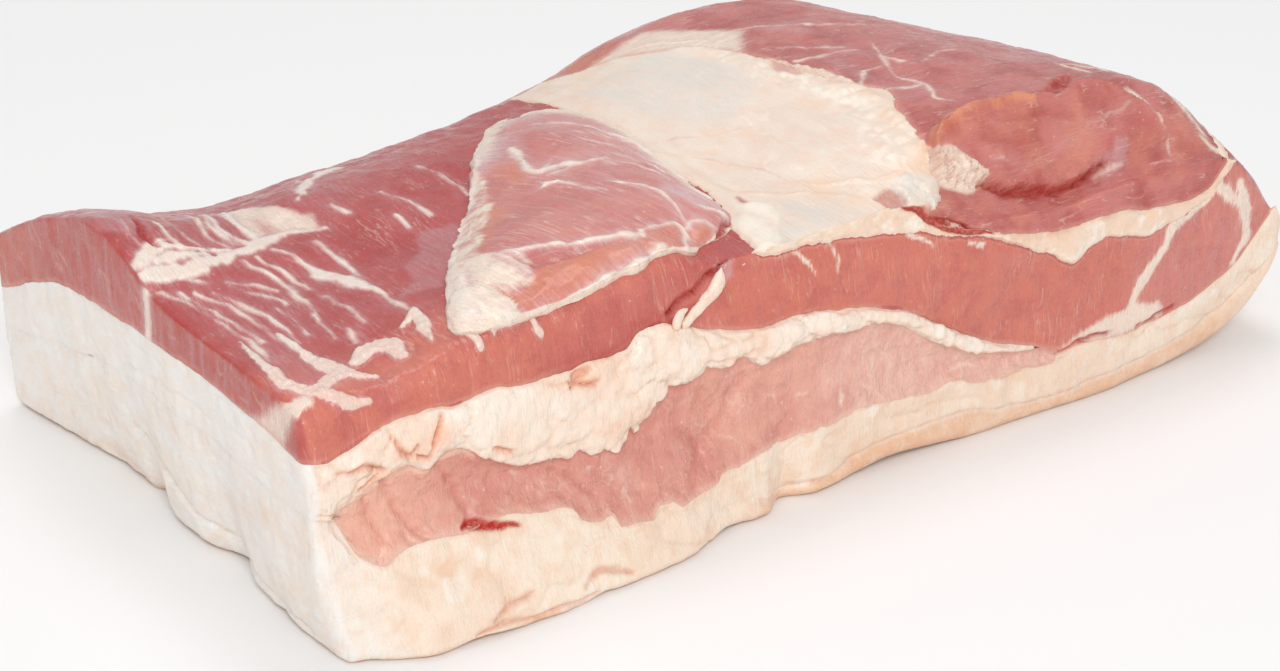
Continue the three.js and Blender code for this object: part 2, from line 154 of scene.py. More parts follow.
# How far each border lies off its rail where the long side cuts it.
BACK_FAT_NEAR = (5, 0, 9, -2.5, 13, -4.5, 17, -2.5, 20, -1.5, 34, -1.2, 47, 0.6, 54, -0.4, 61, 1.6, 63.5,
    1.7, 64.5, -0.6, 69, -0.2, 73.5, 1.5, 75, -1.3, 79, -1.7, 84, -2.3, 87.5, 0.3, 91, 0.5, 94, -1.6, 98,
    -1.2, 103, -2.4, 106.5, -3.3, 108, -1.8, 113, -3.4, 119, -2.5, 140, -2, 155, -0.4, 165, -0.8, 175,
    -1.4, 184, 0, 188, -0.2, 193, -2.4, 199, -3.2, 206, -3, 217, -4.3, 221.5, -4.5, 224, -1.2, 228, 0)
LOWER_LEAN_NEAR = (4, -4, 9, -6, 13, -4.5, 18, -3.4, 22, -3, 26, -5.6, 30, -2.6, 36, -1, 43, -2.2, 50,
    -3.4, 57, -1.5, 63, -1, 68, -1, 72, -3.6, 74.5, -2.6, 80, -3.6, 81.5, -0.4, 84, -3.4, 87, -2, 91,
    -2.6, 93, -1, 100, -4.4, 105, -2.8, 110, -3.6, 116, -1.6, 122, -4.6, 126, -3, 132, -0.6, 141, 0.8,
    152, 1.4, 166, 0.8, 185, 0)
SEAM_FAT_NEAR = (0, -1.5, 13, -0.5, 26, -1, 34, -2.5, 45, -2.8, 56, -4, 66, -3.6, 76, -4, 82, -4.5, 87,
    -2.6, 91, -3.2, 98, -8, 105, -3, 110, -2, 118, -1, 134, 0)
UPPER_LEAN_NEAR = (160, 0, 168, 0.8, 187, 3, 201, 4, 210, 5.4, 217, 5.2, 223, 1.6, 228, -0.8, 233, 2.6,
    238, 4.2, 245, 3.6, 255, 2.6, 264, 4.6, 270, 3.5, 280, 2, 286, 0)
ROUND_MUSCLE_NEAR = (178, 0, 192, 1.2, 201, 2, 228, 2.4, 245, 1, 262, 1, 271, 0.4, 282, 1, 290, 0)
FLAP_OUTLINE = (42, 10, 58, 6.5, 86, 7, 110, 12, 124, 18, 130, 25, 134, 42, 138, 68, 140, 96, 134, 118,
    122, 123, 100, 99, 80, 70, 59, 43)


# -------- curves, noise, marks


def clip01(value: Array) -> Array:
    """Limits values to 0..1."""
    return np.clip(value, 0, 1)


def ease(value: Array, start: float, end: float) -> Array:
    """A smooth step: 0 before start, 1 after end, 3t^2 - 2t^3 between them."""
    t = clip01((value - start) / (end - start))
    return t * t * (3 - 2 * t)


def fall(value: Array, start: float, end: float) -> Array:
    """A smooth step down: 1 before start, 0 after end."""
    return 1 - ease(value, start, end)


def span(value: Array, start: float, full: float, sink: float, end: float) -> Array:
    """A smooth hill: 0 before start, 1 from full to sink, 0 after end."""
    return ease(value, start, full) * fall(value, sink, end)


def fading(depth: Array, length: float) -> Array:
    """1 at depth 0 and before it, falling to 1/e at each length of depth."""
    return np.exp(-np.maximum(depth, 0) / length)


def rows(flat: Row, width: int) -> tuple[Row, ...]:
    """A flat row of numbers cut into points of width numbers each."""
    return tuple(zip(*[iter(flat)] * width))


def hermite(knots: Array, values: Array, at: Array) -> Array:
    """A cubic that never overshoots its knots, with harmonic means for slopes.

    Args:
        knots: where the values are given, rising.
        values: one value a knot, or one row a knot with a value for each point of at.
        at: where it is read; it is level outside the knots.

    Returns:
        The values there.
    """
    steps = np.diff(knots).reshape((-1,) + (1,) * (values.ndim - 1))
    rise = np.diff(values, axis=0) / steps
    slope = np.empty_like(values)
    slope[0], slope[-1] = rise[0], rise[-1]
    before, after = rise[:-1], rise[1:]
    total = before + after
    mean = 2 * before * after / np.where(total == 0, 1, total)
    slope[1:-1] = np.where(before * after > 0, mean, 0)
    at = np.clip(at, knots[0], knots[-1])
    k = np.clip(np.searchsorted(knots, at, side="right") - 1, 0, len(knots) - 2)
    step = knots[k + 1] - knots[k]
    t = (at - knots[k]) / step
    ends = [(end,) if values.ndim == 1 else (end, np.arange(at.size)) for end in (k, k + 1)]
    (low, high), (leave, arrive) = [[table[end] for end in ends] for table in (values, slope)]
    s = 1 - t
    return ((1 + 2 * t) * s * s * low + t * s * s * step * leave
            + t * t * (3 - 2 * t) * high - t * t * s * step * arrive)


class Curve:
    """A smooth curve through pairs (position, value), given as one flat row."""

    def __init__(self, row: Row) -> None:
        """Keeps the pairs as two arrays."""
        self.knots, self.values = np.array(rows(row, 2), float).T.copy()

    def __call__(self, at: Array) -> Array:
        """Reads the curve."""
        return hermite(self.knots, self.values, np.asarray(at, float))


class Loft:
    """A height over the plan: rails along it, and a smooth curve across them."""

    def __init__(self, rails: Sequence[Row]) -> None:
        """Keeps each rail as a curve, with its distance from the long side."""
        self.across = np.array([rail[0] for rail in rails], float)
        self.rails = [Curve(rail[1:]) for rail in rails]

    def __call__(self, x: Array, y: Array) -> Array:
        """Reads the height at points of the plan."""
        return hermite(self.across, np.stack([rail(x) for rail in self.rails]), y)


class Noise:
    """Seeded noise: random values on a lattice, blended smoothly between its points."""

    LATTICE = 32

    def __init__(self, seed: int) -> None:
        """Draws the lattice's values and the offsets of its cells' seeds."""
        draw = np.random.default_rng(seed)
        shape = (self.LATTICE,) * 3
        self.values = draw.uniform(-1, 1, shape)
        self.seeds = draw.uniform(0.15, 0.85, shape + (3,))

    def smooth(self, points: Array, size: float) -> Array:
        """Noise from -1 to 1 whose lumps are about size across.

        Args:
            points: places, one row each.
            size: spacing of the lattice.

        Returns:
            One value for each point.
        """
        q = points / size
        cell = np.floor(q).astype(int)
        f = q - cell
        f = f * f * (3 - 2 * f)
        total = np.zeros(len(points))
        for corner in np.ndindex(2, 2, 2):
            wx, wy, wz = np.where(corner, f, 1 - f).T
            at = (cell + corner) % self.LATTICE
            total += wx * wy * wz * self.values[at[:, 0], at[:, 1], at[:, 2]]
        return total

    def rough(self, points: Array, size: float, octaves: int = 3) -> Array:
        """Noise with finer noise on it, each octave half the size and 0.55 of the height."""
        total, weight, scale = np.zeros(len(points)), 1.0, size
        for octave in range(octaves):
            total += weight * self.smooth(points + 7.3 * octave, scale)
            weight, scale = weight * 0.55, scale * 0.5
        return total

    def pebbles(self, points: Array, size: float) -> Array:
        """Rounded grains: the root of the gap between the two nearest cell seeds' distances.

        Args:
            points: places, one row each.
            size: spacing of the cells.

        Returns:
            1 at the heart of each cell, falling to 0 in the creases.
        """
        q = points / size
        cell = np.floor(q).astype(int)
        near, second = np.full((2, len(points)), 9.0)
        for step in np.ndindex(3, 3, 3):
            at = cell + step - 1
            wrapped = at % self.LATTICE
            seed = at + self.seeds[wrapped[:, 0], wrapped[:, 1], wrapped[:, 2]]
            away = np.linalg.norm(q - seed, axis=1)
            second = np.where(away < near, near, np.minimum(second, away))
            near = np.minimum(near, away)
        return np.sqrt(clip01((second - near) / 0.7))

    def puffs(self, points: Array, size: float) -> Pair:
        """Puffed lumps with sharp creases: smooth noise without its sign.

        Args:
            points: places, one row each.
            size: spacing of the lumps.

        Returns:
            A height from 0 to 1, and 1 in the creases, falling to 0 beside them.
        """
        height = np.abs(self.smooth(points, size) + 0.35 * self.smooth(points + 31, 0.45 * size))
        return np.minimum(1.4 * height, 1) ** 0.7, np.exp(-((height / 0.07) ** 2))

    def waver(self, points: Array, amount: float) -> Array:
        """Points moved at random, so that what is drawn on them wanders."""
        moved = [self.rough(points + 40 * k, 6) for k in (1, 2, 3)]
        return points + amount * np.stack(moved, 1)


class Face(Enum):
    """The face of the slab that a mark is drawn on, and the two axes of its drawing."""

    TOP = (0, 1)
    FRONT = (0, 2)
    END = (1, 2)


TOP, FRONT, END = Face
FAR = 12.0


def to_stretch(flat: Array, a: Row, b: Row) -> Pair:
    """How far places lie from the stretch between two points, and where beside it.

    Args:
        flat: places in the drawing, one row each.
        a: the first point.
        b: the second point.

    Returns:
        The distance, and 0 beside the first point to 1 beside the second.
    """
    start, along = np.array(a[:2]), np.array(b[:2]) - a[:2]
    t = clip01(((flat - start) @ along) / (along @ along))
    off = flat - start - t[:, None] * along
    return np.hypot(off[:, 0], off[:, 1]), t


@dataclass(frozen=True)
class Mark:
    """A line on one face: points (p, q, half width) along it, in millimetres."""

    face: Face
    points: tuple[Row, ...]

    def away(self, flat: Array) -> Array:
        """Distance to the nearest stretch less its half width, negative inside."""
        best = np.full(len(flat), 1e3)
        for a, b in zip(self.points[:-1], self.points[1:]):
            off, t = to_stretch(flat, a, b)
            best = np.minimum(best, off - (a[2] + (b[2] - a[2]) * t))
        return best

    def distance(self, places: Array) -> Array:
        """How far places in space lie outside the mark, no more than FAR."""
        flat = places[:, list(self.face.value)]
        outline = np.array([point[:2] for point in self.points])
        low, high = outline.min(0) - FAR, outline.max(0) + FAR
        near = np.all((flat > low) & (flat < high), axis=1)
        result = np.full(len(flat), FAR)
        if near.any():
            result[near] = np.minimum(self.away(flat[near]), FAR)
        return result


@dataclass(frozen=True)
class Patch(Mark):
    """An area on one face, given by its outline's points (p, q)."""

    def away(self, flat: Array) -> Array:
        """Distance to the outline, negative where a ray to the right crosses it oddly often."""
        best, odd = np.full(len(flat), 1e3), np.zeros(len(flat), bool)
        for a, b in zip(self.points, self.points[1:] + self.points[:1]):
            best = np.minimum(best, to_stretch(flat, a, b)[0])
            (ax, ay), (bx, by) = a, b
            crossing = ax + (flat[:, 1] - ay) * (bx - ax) / (by - ay if by != ay else 1e-9)
            odd ^= ((ay > flat[:, 1]) != (by > flat[:, 1])) & (flat[:, 0] < crossing)
        return np.where(odd, -best, best)


def lines(face: Face, *given: Row) -> tuple[Mark, ...]:
    """Lines on one face, each a flat row of its points (p, q, half width)."""
    return tuple(Mark(face, rows(line, 3)) for line in given)


def patches(face: Face, *given: Row) -> tuple[Mark, ...]:
    """Patches on one face, each a flat row of its outline's points (p, q)."""
    return tuple(Patch(face, rows(outline, 2)) for outline in given)


class Canvas:
    """A smooth surface on which relief and tints are worked out."""

    WAVER = 0.7

    def __init__(self, surface: "Surface", seed: int) -> None:
        """Keeps the surface, its noise, and how much each point faces each way.

        Args:
            surface: the smooth surface.
            seed: the noise's seed.
        """
        self.surface, self.points, self.normals = surface, surface.points, surface.normals()
        self.x, self.y, self.z = self.points.T
        self.noise, self.skin = Noise(seed), Noise(5)
        self.front = ease(-self.normals[:, 1], 0.3, 0.55)
        self.end = ease(-self.normals[:, 0], 0.35, 0.65)
        self.up = ease(self.normals[:, 2], 0.3, 0.6)
        self.share = {TOP: self.up, FRONT: self.front, END: self.end}
        self.drawn = self.noise.waver(self.points, self.WAVER)
        self.flat = np.zeros(len(self.points))

    def at(self, surface: Height) -> Array:
        """The height of a surface over or under each point."""
        return surface(self.x, self.y)

    def distance(self, group: Sequence[Mark]) -> Array:
        """Millimetres outside a group of marks, each seen only on its own face."""
        best = np.full(len(self.points), FAR)
        for mark in group:
            hidden = FAR * (1.0 - self.share[mark.face])
            best = np.minimum(best, mark.distance(self.drawn) + hidden)
        return best

    def inside(self, group: Sequence[Mark], soft: float) -> Array:
        """1 inside a group of marks, fading to 0 over soft millimetres outside them."""
        return fall(self.distance(group), -0.3 * soft, soft)

    def laid(self, *parts: tuple[float, Sequence[Mark], float]) -> Array:
        """Groups of marks laid over one another: the sum of each (weight, group, softness)."""
        return sum(weight * self.inside(group, soft) for weight, group, soft in parts)

    def bulge(self, group: Sequence[Mark], depth: float) -> Array:
        """0 outside a group of marks, rising to 1 depth millimetres inside them."""
        return ease(-self.distance(group), -0.2, depth)

    def grain(self) -> Array:
        """Millimetres across the fibres, along them over the top and down the wall, and aside."""
        return np.stack([self.x, self.y + self.z, 0.5 * (self.y - self.z)], 1)

    def strands(self, size: float) -> Array:
        """Noise drawn out along the fibres."""
        return self.noise.smooth(self.grain() * (1, 0.14, 0.35), size)

    def patches(self, size: float, start: float, end: float) -> Array:
        """Soft patches: a step of noise between two of its levels."""
        return ease(self.noise.rough(self.points + 60, size), start, end)


# -------- the slab's own form


class Border(Enum):
    """The top of a layer: its rails, and how far it lies off them in the long side."""

    BACK = (BACK_FAT_TOP, BACK_FAT_NEAR)
    LOWER = (LOWER_LEAN_TOP, LOWER_LEAN_NEAR)
    SEAM = (SEAM_FAT_TOP, SEAM_FAT_NEAR)
    UPPER = (UPPER_LEAN_TOP, UPPER_LEAN_NEAR)
    CAP = (ROUND_MUSCLE_BOTTOM, ROUND_MUSCLE_NEAR)


def bump(z: Array, low: Array, high: Array) -> Array:
    """1 in the middle of a band of heights, 0 at its edges or where the band is thin."""
    half = (high - low) / 2
    hump = clip01(1 - ((z - low - half) / np.where(half <= 0, 1, half)) ** 2)
    return np.where(2 * half < THIN_BAND, 0, hump)


class Slab:
    """The slab's outer skin, and the surfaces that divide its layers."""

    def __init__(self) -> None:
        """Makes the curves and lofts from their tables."""
        self.crown, self.bow, self.lean = Loft(CROWN), Curve(BOW), Curve(LONG_SIDE_LEAN)
        self.foot, self.end_foot = Curve(LONG_SIDE_FOOT), Curve(SAWN_END_FOOT)
        self.borders = {b: (Loft(b.value[0]), Curve(b.value[1])) for b in Border}
        self.noise = Noise(11)

    def rail(self, border: Border, x: Array, y: Array) -> Array:
        """A border's height before it wanders; its offset fades out behind the long side."""
        loft, near = self.borders[border]
        return loft(x, y) + near(x) * fall(y, *NEAR_DEPTH)

    def ragged(self, x: Array, y: Array, size: float, floor: float) -> Array:
        """How an uneven border wanders: noise over the plan, on its own floor of the lattice."""
        return self.noise.rough(np.stack([x, y, np.full_like(x, floor)], 1), size)

    def board(self, x: Array, y: Array) -> Array:
        """Height of the rind's underside."""
        return self.bow(x)

    def back(self, x: Array, y: Array) -> Array:
        """Top of the back fat."""
        amount = (0.35 + 0.45 * span(x, 64, 76, 200, 220)) * ease(x, 3, 9)
        top = self.rail(Border.BACK, x, y) + amount * self.ragged(x, y, 4.5, 3)
        return np.minimum(top, self.crown(x, y))

    def lower(self, x: Array, y: Array) -> Array:
        """Top of the lower lean, never under the back fat."""
        amount = (0.35 + 0.5 * span(x, 36, 50, 84, 100)) * ease(x, 3, 9)
        top = self.rail(Border.LOWER, x, y) + amount * self.ragged(x, y, 4.5, 41)
        return np.maximum(self.back(x, y), np.minimum(top, self.crown(x, y)))

    def seam(self, x: Array, y: Array) -> Array:
        """Top of the seam fat, never under the lean below it."""
        top = self.rail(Border.SEAM, x, y) + 0.45 * self.ragged(x, y, 6, 83)
        return np.maximum(self.lower(x, y), np.minimum(top, self.crown(x, y)))

    def upper(self, x: Array, y: Array) -> Array:
        """Top of the upper lean under the cap; elsewhere it rises clear of the slab."""
        wander = 0.5 * self.ragged(x, y, 6, 121) + 0.45 * self.ragged(x, y, 1.9, 140)
        return self.rail(Border.UPPER, x, y) + wander

    def cap(self, x: Array, y: Array) -> Array:
        """Top of the cap under the round muscle; elsewhere it rises clear of the slab."""
        wander = 0.5 * self.ragged(x, y, 7, 163) + 0.3 * self.ragged(x, y, 2.1, 190)
        return np.maximum(self.upper(x, y) + LEAST_CAP_FAT, self.rail(Border.CAP, x, y) + wander)

    def front(self, x: Array, z: Array) -> Array:
        """How far the long side stands out: its foot, its lean and its layers' swell."""
        edge = np.zeros_like(x)
        back = self.rail(Border.BACK, x, edge)
        low = np.maximum(back, self.rail(Border.LOWER, x, edge))
        high = np.maximum(low, self.rail(Border.SEAM, x, edge))
        foot = self.foot(x) * clip01(1 - z / FOOT_HEIGHT) ** FOOT_FLARE
        swell = SEAM_SWELL * bump(z, low, high) - LEAN_SHRINK * bump(z, back, low)
        return foot - self.lean(z) + swell

    def end(self, y: Array, z: Array) -> Array:
        """How far the sawn end stands out: a ragged foot that straightens upwards."""
        top = SAWN_END_TOP[0] + (SAWN_END_TOP[1] - SAWN_END_TOP[0]) * clip01(y / WIDTH)
        t = clip01(z / SAWN_END_STRAIGHTENS)
        return self.end_foot(y) + (top - self.end_foot(y)) * t * (2 - t)

    def place(self, plan_x: Array, plan_y: Array, z: Array) -> Pair:
        """Moves a point of the plan's outline to where the wall is at a height."""
        near, far, left = [clip01(1 - depth / SIDE_DEPTH) ** 2
                           for depth in (plan_y, WIDTH - plan_y, plan_x)]
        bulge = FAR_SIDE_BULGE * np.exp(-(((z - FAR_SIDE_MIDDLE) / FAR_SIDE_MIDDLE) ** 2))
        y = plan_y - self.front(plan_x, z) * near + bulge * far
        return plan_x + self.end(plan_y, z) * left, y

    @staticmethod
    def round_corners(x: Array, y: Array) -> Pair:
        """Draws the square of side r at each corner of the plan in to a quarter disc."""
        x, y = x.copy(), y.copy()
        for corner_x, corner_y, r in CORNERS:
            p = 1 - np.abs(x - corner_x) / r
            q = 1 - np.abs(y - corner_y) / r
            hit = (p > 0) & (q > 0)
            p, q = p[hit], q[hit]
            x[hit] = np.abs(corner_x - r * (1 - p * np.sqrt(1 - q * q / 2)))
            y[hit] = np.abs(corner_y - r * (1 - q * np.sqrt(1 - p * p / 2)))
        return x, y


# -------- meshes


@dataclass
class Surface:
    """A closed surface: points in millimetres, four-sided and three-sided faces."""

    points: Array
    quads: Array
    triangles: Array
    borrowed: Array = field(default_factory=lambda: np.zeros((0, 2), int))

    def normals(self) -> Array:
        """Unit normals: the sum of the crossed diagonals of the faces around each point.

        The points of a hidden edge borrow those of their neighbours in the wall.

        Returns:
            One row for each point.
        """
        p = self.points
        quad, tri = [np.cross(p[faces[:, b]] - p[faces[:, a]], p[faces[:, d]] - p[faces[:, c]])
                     for faces, a, b, c, d in ((self.quads, 0, 2, 1, 3), (self.triangles, 0, 1, 0, 2))]
        owners = np.concatenate([self.quads.ravel(), self.triangles.ravel()])
        pushes = np.concatenate([np.repeat(quad, 4, 0), np.repeat(tri, 3, 0)])
        total = np.stack([np.bincount(owners, pushes[:, k], len(p)) for k in range(3)], 1)
        total = total / np.maximum(np.linalg.norm(total, axis=1, keepdims=True), 1e-9)
        total[self.borrowed[:, 0]] = total[self.borrowed[:, 1]]
        return total

    def to_object(self, name: str, fields: dict[str, Array]) -> bpy.types.Object:
        """Makes the object, in metres in the shared frame, with its named fields.

        Args:
            name: the object's name.
            fields: values at the points, one number or three numbers each.

        Returns:
            The object, linked to the scene.
        """
        world = (self.points - (MIDDLE_X, MIDDLE_Y, 0)) * MM
        mesh = bpy.data.meshes.new(name)
        mesh.from_pydata(world.tolist(), [], self.quads.tolist() + self.triangles.tolist())
        for label, values in fields.items():
            kind, key = ("FLOAT", "value") if values.ndim == 1 else ("FLOAT_VECTOR", "vector")
            layer = mesh.attributes.new(label, kind, "POINT")
            layer.data.foreach_set(key, np.ascontiguousarray(values, np.float32).ravel())
        mesh.polygons.foreach_set("use_smooth", np.ones(len(mesh.polygons), bool))
        mesh.update()
        mesh.set_sharp_from_angle(angle=SHARP_FROM)
        return linked(name, mesh)


def linked(name: str, data: bpy.types.ID) -> bpy.types.Object:
    """A new object with this data, linked to the scene."""
    made = bpy.data.objects.new(name, data)
    bpy.context.scene.collection.objects.link(made)
    return made


def spaced(*stretches: Row) -> Array:
    """Positions along a line: stretches (start, end, step), each cut evenly."""
    parts = [np.linspace(start, end, max(int(round((end - start) / step)), 1) + 1)[:-1]
             for start, end, step in stretches]
    return np.append(np.concatenate(parts), stretches[-1][1])


def band(index: Array) -> Array:
    """Four-sided faces between the rows of a closed band of point numbers."""
    after = np.roll(index, -1, axis=1)
    return np.stack([index[:-1], after[:-1], after[1:], index[1:]], -1).reshape(-1, 4)


# -------- finishes


class Sock:
    """A shader value. Arithmetic on it adds Math nodes to its graph."""

    def __init__(self, graph: "Graph", socket: bpy.types.NodeSocket) -> None:
        """Keeps the graph and the socket."""
        self.graph, self.socket = graph, socket

    def math(self, operation: str, *others: object) -> "Sock":
        """Adds one Math node with this value first."""
        return self.graph.maths(operation, self, *others)

    def __rsub__(self, other: object) -> "Sock":
        """other - self."""
        return self.graph.maths("SUBTRACT", other, self)

    __add__ = __radd__ = partialmethod(math, "ADD")
    __mul__ = __rmul__ = partialmethod(math, "MULTIPLY")
    __sub__ = partialmethod(math, "SUBTRACT")


Colour = int


def tint(colour: Colour) -> tuple[float, ...]:
    """A linear colour from a display colour, 0xRRGGBB."""
    levels = [channel / 255 for channel in colour.to_bytes(3, "big")]
    return *[v / 12.92 if v <= 0.04045 else ((v + 0.055) / 1.055) ** 2.4 for v in levels], 1


class Graph:
    """The node tree of one material, with short ways to add what its finish needs."""

    def __init__(self, name: str) -> None:
        """Starts a material with nothing but its output."""
        self.material = bpy.data.materials.new(name)
        self.material.use_nodes = True
        self.tree = self.material.node_tree
        self.tree.nodes.clear()
        self.output = self.tree.nodes.new("ShaderNodeOutputMaterial")
        self.place = self.node("TexCoord", out="Object")

    def node(self, kind: str, settings: Optional[dict] = None, inputs: Optional[dict] = None,
             out: object = 0) -> Sock:
        """Adds a node.

        Args:
            kind: its type, less the leading ShaderNode.
            settings: properties to set on it.
            inputs: values or links by socket name or number.
            out: name or number of the output.

        Returns:
            That output.
        """
        made = self.tree.nodes.new("ShaderNode" + kind)
        for key, value in (settings or {}).items():
            setattr(made, key, value)
        for key, value in (inputs or {}).items():
            self.feed(made.inputs[key], value)
        return Sock(self, made.outputs[out])

    def feed(self, socket: bpy.types.NodeSocket, value: object) -> None:
        """Links a shader value to a socket, or sets a plain one on it."""
        if isinstance(value, Sock):
            self.tree.links.new(value.socket, socket)
        else:
            socket.default_value = value

    def shader(self, inputs: dict) -> bpy.types.Material:
        """Ends the material with one shader that has these inputs."""
        self.feed(self.output.inputs["Surface"], self.node("BsdfPrincipled", None, inputs))
        return self.material

    def maths(self, operation: str, *values: object) -> Sock:
        """Adds a Math node on these values."""
        return self.node("Math", {"operation": operation}, dict(enumerate(values)))

    def noise(self, scale: float, detail: float = 3.0, at: Optional[Sock] = None,
              out: object = 0, roughness: float = 0.55) -> Sock:
        """Noise around 0.5 with this many lumps to the metre."""
        return self.node("TexNoise", None, {"Vector": at or self.place, "Scale": scale,
                                            "Detail": detail, "Roughness": roughness}, out)

    def fibres(self, detail: float, scale: Row, at: Sock) -> Sock:
        """Noise drawn out along a vector's axes, with this many lumps to each one's unit."""
        return self.noise(1, detail, self.vector("MULTIPLY", at, scale))

    def cells(self, scale: float, at: Sock, feature: str = "F1") -> Sock:
        """Distance to the nearest cell's heart or edge, with this many to the metre."""
        return self.node("TexVoronoi", {"feature": feature}, {"Vector": at, "Scale": scale},
                         "Distance")

    def field(self, name: str, out: str = "Fac") -> Sock:
        """A value that the mesh carries at its points."""
        return self.node("Attribute", {"attribute_name": name}, out=out)

    def vector(self, operation: str, first: object, second: object) -> Sock:
        """Adds a Vector Math node on two vectors."""
        return self.node("VectorMath", {"operation": operation}, {0: first, 1: second})

    def step(self, value: Sock, start: float, end: float, low: object = 0,
             high: float = 1.0) -> Sock:
        """A smooth step of a value from low, at start, to high, at end."""
        return self.node("MapRange", {"interpolation_type": "SMOOTHSTEP"}, {
            "Value": value, "From Min": start, "From Max": end, "To Min": low, "To Max": high})

    def blend(self, share: object, first: object, second: object) -> Sock:
        """Mixes two colours, each a shader value or a display colour."""
        one, two = [tint(c) if isinstance(c, Colour) else c for c in (first, second)]
        kind = {"data_type": "RGBA", "clamp_factor": True}
        return self.node("Mix", kind, {0: share, 6: one, 7: two}, 2)


@dataclass(frozen=True)
class Flesh:
    """Finish of raw meat or fat: its tones, what is drawn on it, its grain and its wetness."""

    name: str
    tone: Colour
    tone_two: Colour
    fibre: Colour
    blotch: Colour
    line: Colour
    warm: Colour
    film_and_shade: Colour
    pale: Colour
    rim: Colour
    deep: Colour
    fibre_share: float = 0.4
    fibre_fineness: float = 1.0
    blotch_share: float = 0.5
    blotch_scale: float = 105.0
    vein_share: float = 0.0
    vein_shape: Row = (0.25, 0.25, 0.25)
    vein_width: float = 0.018
    halo_share: float = 0.0
    rim_width: float = 1.6
    rim_share: float = 0.5
    fray: float = 0.5
    feather: float = 0.0
    cells: float = 0.0
    # Share of painted glints: sparse pale dots that stand in for wet highlights.
    painted_glints: float = 0.0
    sawn_fibres: bool = False
    roughness: float = 0.36
    grain_height: float = 0.0005
    coat: float = 0.2

    def material(self) -> bpy.types.Material:
        """Builds the nodes.

        The colour, in order: two tones by slow noise; pale fibres, where noise stretched along the
        grain is high; thin veins along a contour of it; the shares, each broken up by noise; a
        soft border; the drawn lines, where line plus noise is under zero, and a haze around them.

        Returns:
            The material.
        """
        g = Graph(self.name)
        slow, mid, fine = g.noise(42), g.noise(170), g.noise(900)
        grain, fineness = g.field("grain", "Vector"), self.fibre_fineness
        strands = g.fibres(3, (0.9 * fineness, 0.07, 0.25), grain)
        hairs = g.fibres(2, (3.2 * fineness, 0.2, 0.9), grain)
        if self.sawn_fibres:
            sawn = g.field("sawn")
            strands = strands + (g.fibres(3, (200, 800, 50), g.place) - strands) * sawn
            hairs = hairs + (g.fibres(2, (700, 2400, 130), g.place) - hairs) * sawn
        colour = g.blend(g.step(slow, 0.38, 0.62), self.tone, self.tone_two)
        blotches = g.step(g.noise(self.blotch_scale, 5), 0.46, 0.66) * self.blotch_share
        colour = g.blend(blotches, colour, self.blotch)
        fibres = g.step(strands, 0.48, 0.66) * 0.5 + g.step(hairs, 0.5, 0.68) * 0.5
        colour = g.blend(fibres * self.fibre_share, colour, self.fibre)
        # Painted glints: sparse pale dots, broken up by noise, standing in for wet highlights.
        if self.painted_glints > 0:
            glint_dots = g.step(g.cells(420, g.place) + fine * 0.3, 0.2, 0.32, 1, 0)
            colour = g.blend(glint_dots * g.step(mid, 0.42, 0.6) * self.painted_glints, colour, self.pale)
        if self.vein_share > 0:
            off_middle = (g.fibres(2, self.vein_shape, grain) - 0.5).math("ABSOLUTE")
            veins = g.step(off_middle, 0, self.vein_width, 1, 0)
            spread = g.step(g.noise(110, 2), 0.48, 0.6)
            colour = g.blend(veins * spread * self.vein_share, colour, self.pale)
        if self.cells > 0:
            push = g.vector("MULTIPLY", g.noise(160, 2, out="Color", roughness=0.5),
                            (0.006,) * 3)
            apart = g.cells(self.cells, g.vector("ADD", g.place, push), "DISTANCE_TO_EDGE")
            thin = g.step(g.noise(120, 2), 0.4, 0.7, 0.03, 0.2)
            nets = g.step(apart + (fine - 0.5) * 0.1, 0, thin, 1, 0)
            nets = nets * g.step(g.noise(75, 2), 0.48, 0.66, 0, 0.28)
            colour = g.blend(nets, colour, self.pale)
        mottle = g.step(mid * 0.65 + fine * 0.35, 0.36, 0.6, 0.55, 1)
        threads = strands * 0.5 + hairs * 0.3 + fine * 0.2
        colour = g.blend(g.field("warm") * mottle, colour, self.warm)
        # Film colour; on the fats' sawn end it is painted shade.
        colour = g.blend(g.field("film_and_shade") * g.step(threads, 0.38, 0.6, 0.45, 1), colour, self.film_and_shade)
        fade = g.field("pale") * 1.4 - g.step(threads, 0.36, 0.62, 0.4, 0)
        colour = g.blend(g.step(fade, 0, 1), colour, self.pale)
        border = g.field("rim") + (mid - 0.5) * 2.4
        border = g.step(border, 0, self.rim_width, self.rim_share, 0)
        colour = g.blend(border, colour, self.rim)
        wander = (strands - 0.5) * (3.2 * self.fray) + (fine - 0.5) * (1.4 * self.fray)
        edge = g.field("line") + wander - g.step(strands, 0.5, 0.72) * self.feather
        if self.halo_share > 0:
            haze = g.step(edge, 0.2, 3.6, 1, 0) * g.step(threads, 0.4, 0.58)
            colour = g.blend(haze * self.halo_share, colour, self.film_and_shade)
        drawn = g.step(edge, -1.2, 0.7, 1, 0) * g.step(hairs, 0.3, 0.55, 0.86, 1)
        line_tone = g.blend(g.step(mid, 0.4, 0.62) * 0.6, self.line, self.pale)
        line_tone = g.blend(g.field("warm") * 0.5, line_tone, self.rim)
        colour = g.blend(drawn, colour, line_tone)
        colour = g.blend(g.field("deep") * g.step(fine, 0.2, 0.6, 0.7, 1), colour, self.deep)
        height = (fibres * 0.6 + fine * 0.7 + g.noise(2400, 2) * 0.3 + mid * 0.8
                  + drawn * 0.5)
        normal = g.node("Bump", None, {"Strength": 0.6, "Distance": self.grain_height,
                                       "Height": height}, "Normal")
        gloss = g.step(mid, 0.35, 0.65, self.roughness - 0.07, self.roughness + 0.12)
        return g.shader({
            "Base Color": colour, "Roughness": gloss, "Normal": normal,
            "Coat Weight": self.coat, "Coat Roughness": 0.14, "IOR": 1.42,
            "Subsurface Weight": 0.12, "Subsurface Scale": 0.003,
            "Subsurface Radius": (1, 0.45, 0.3)})


WHITE_FAT = 0xf7e9de
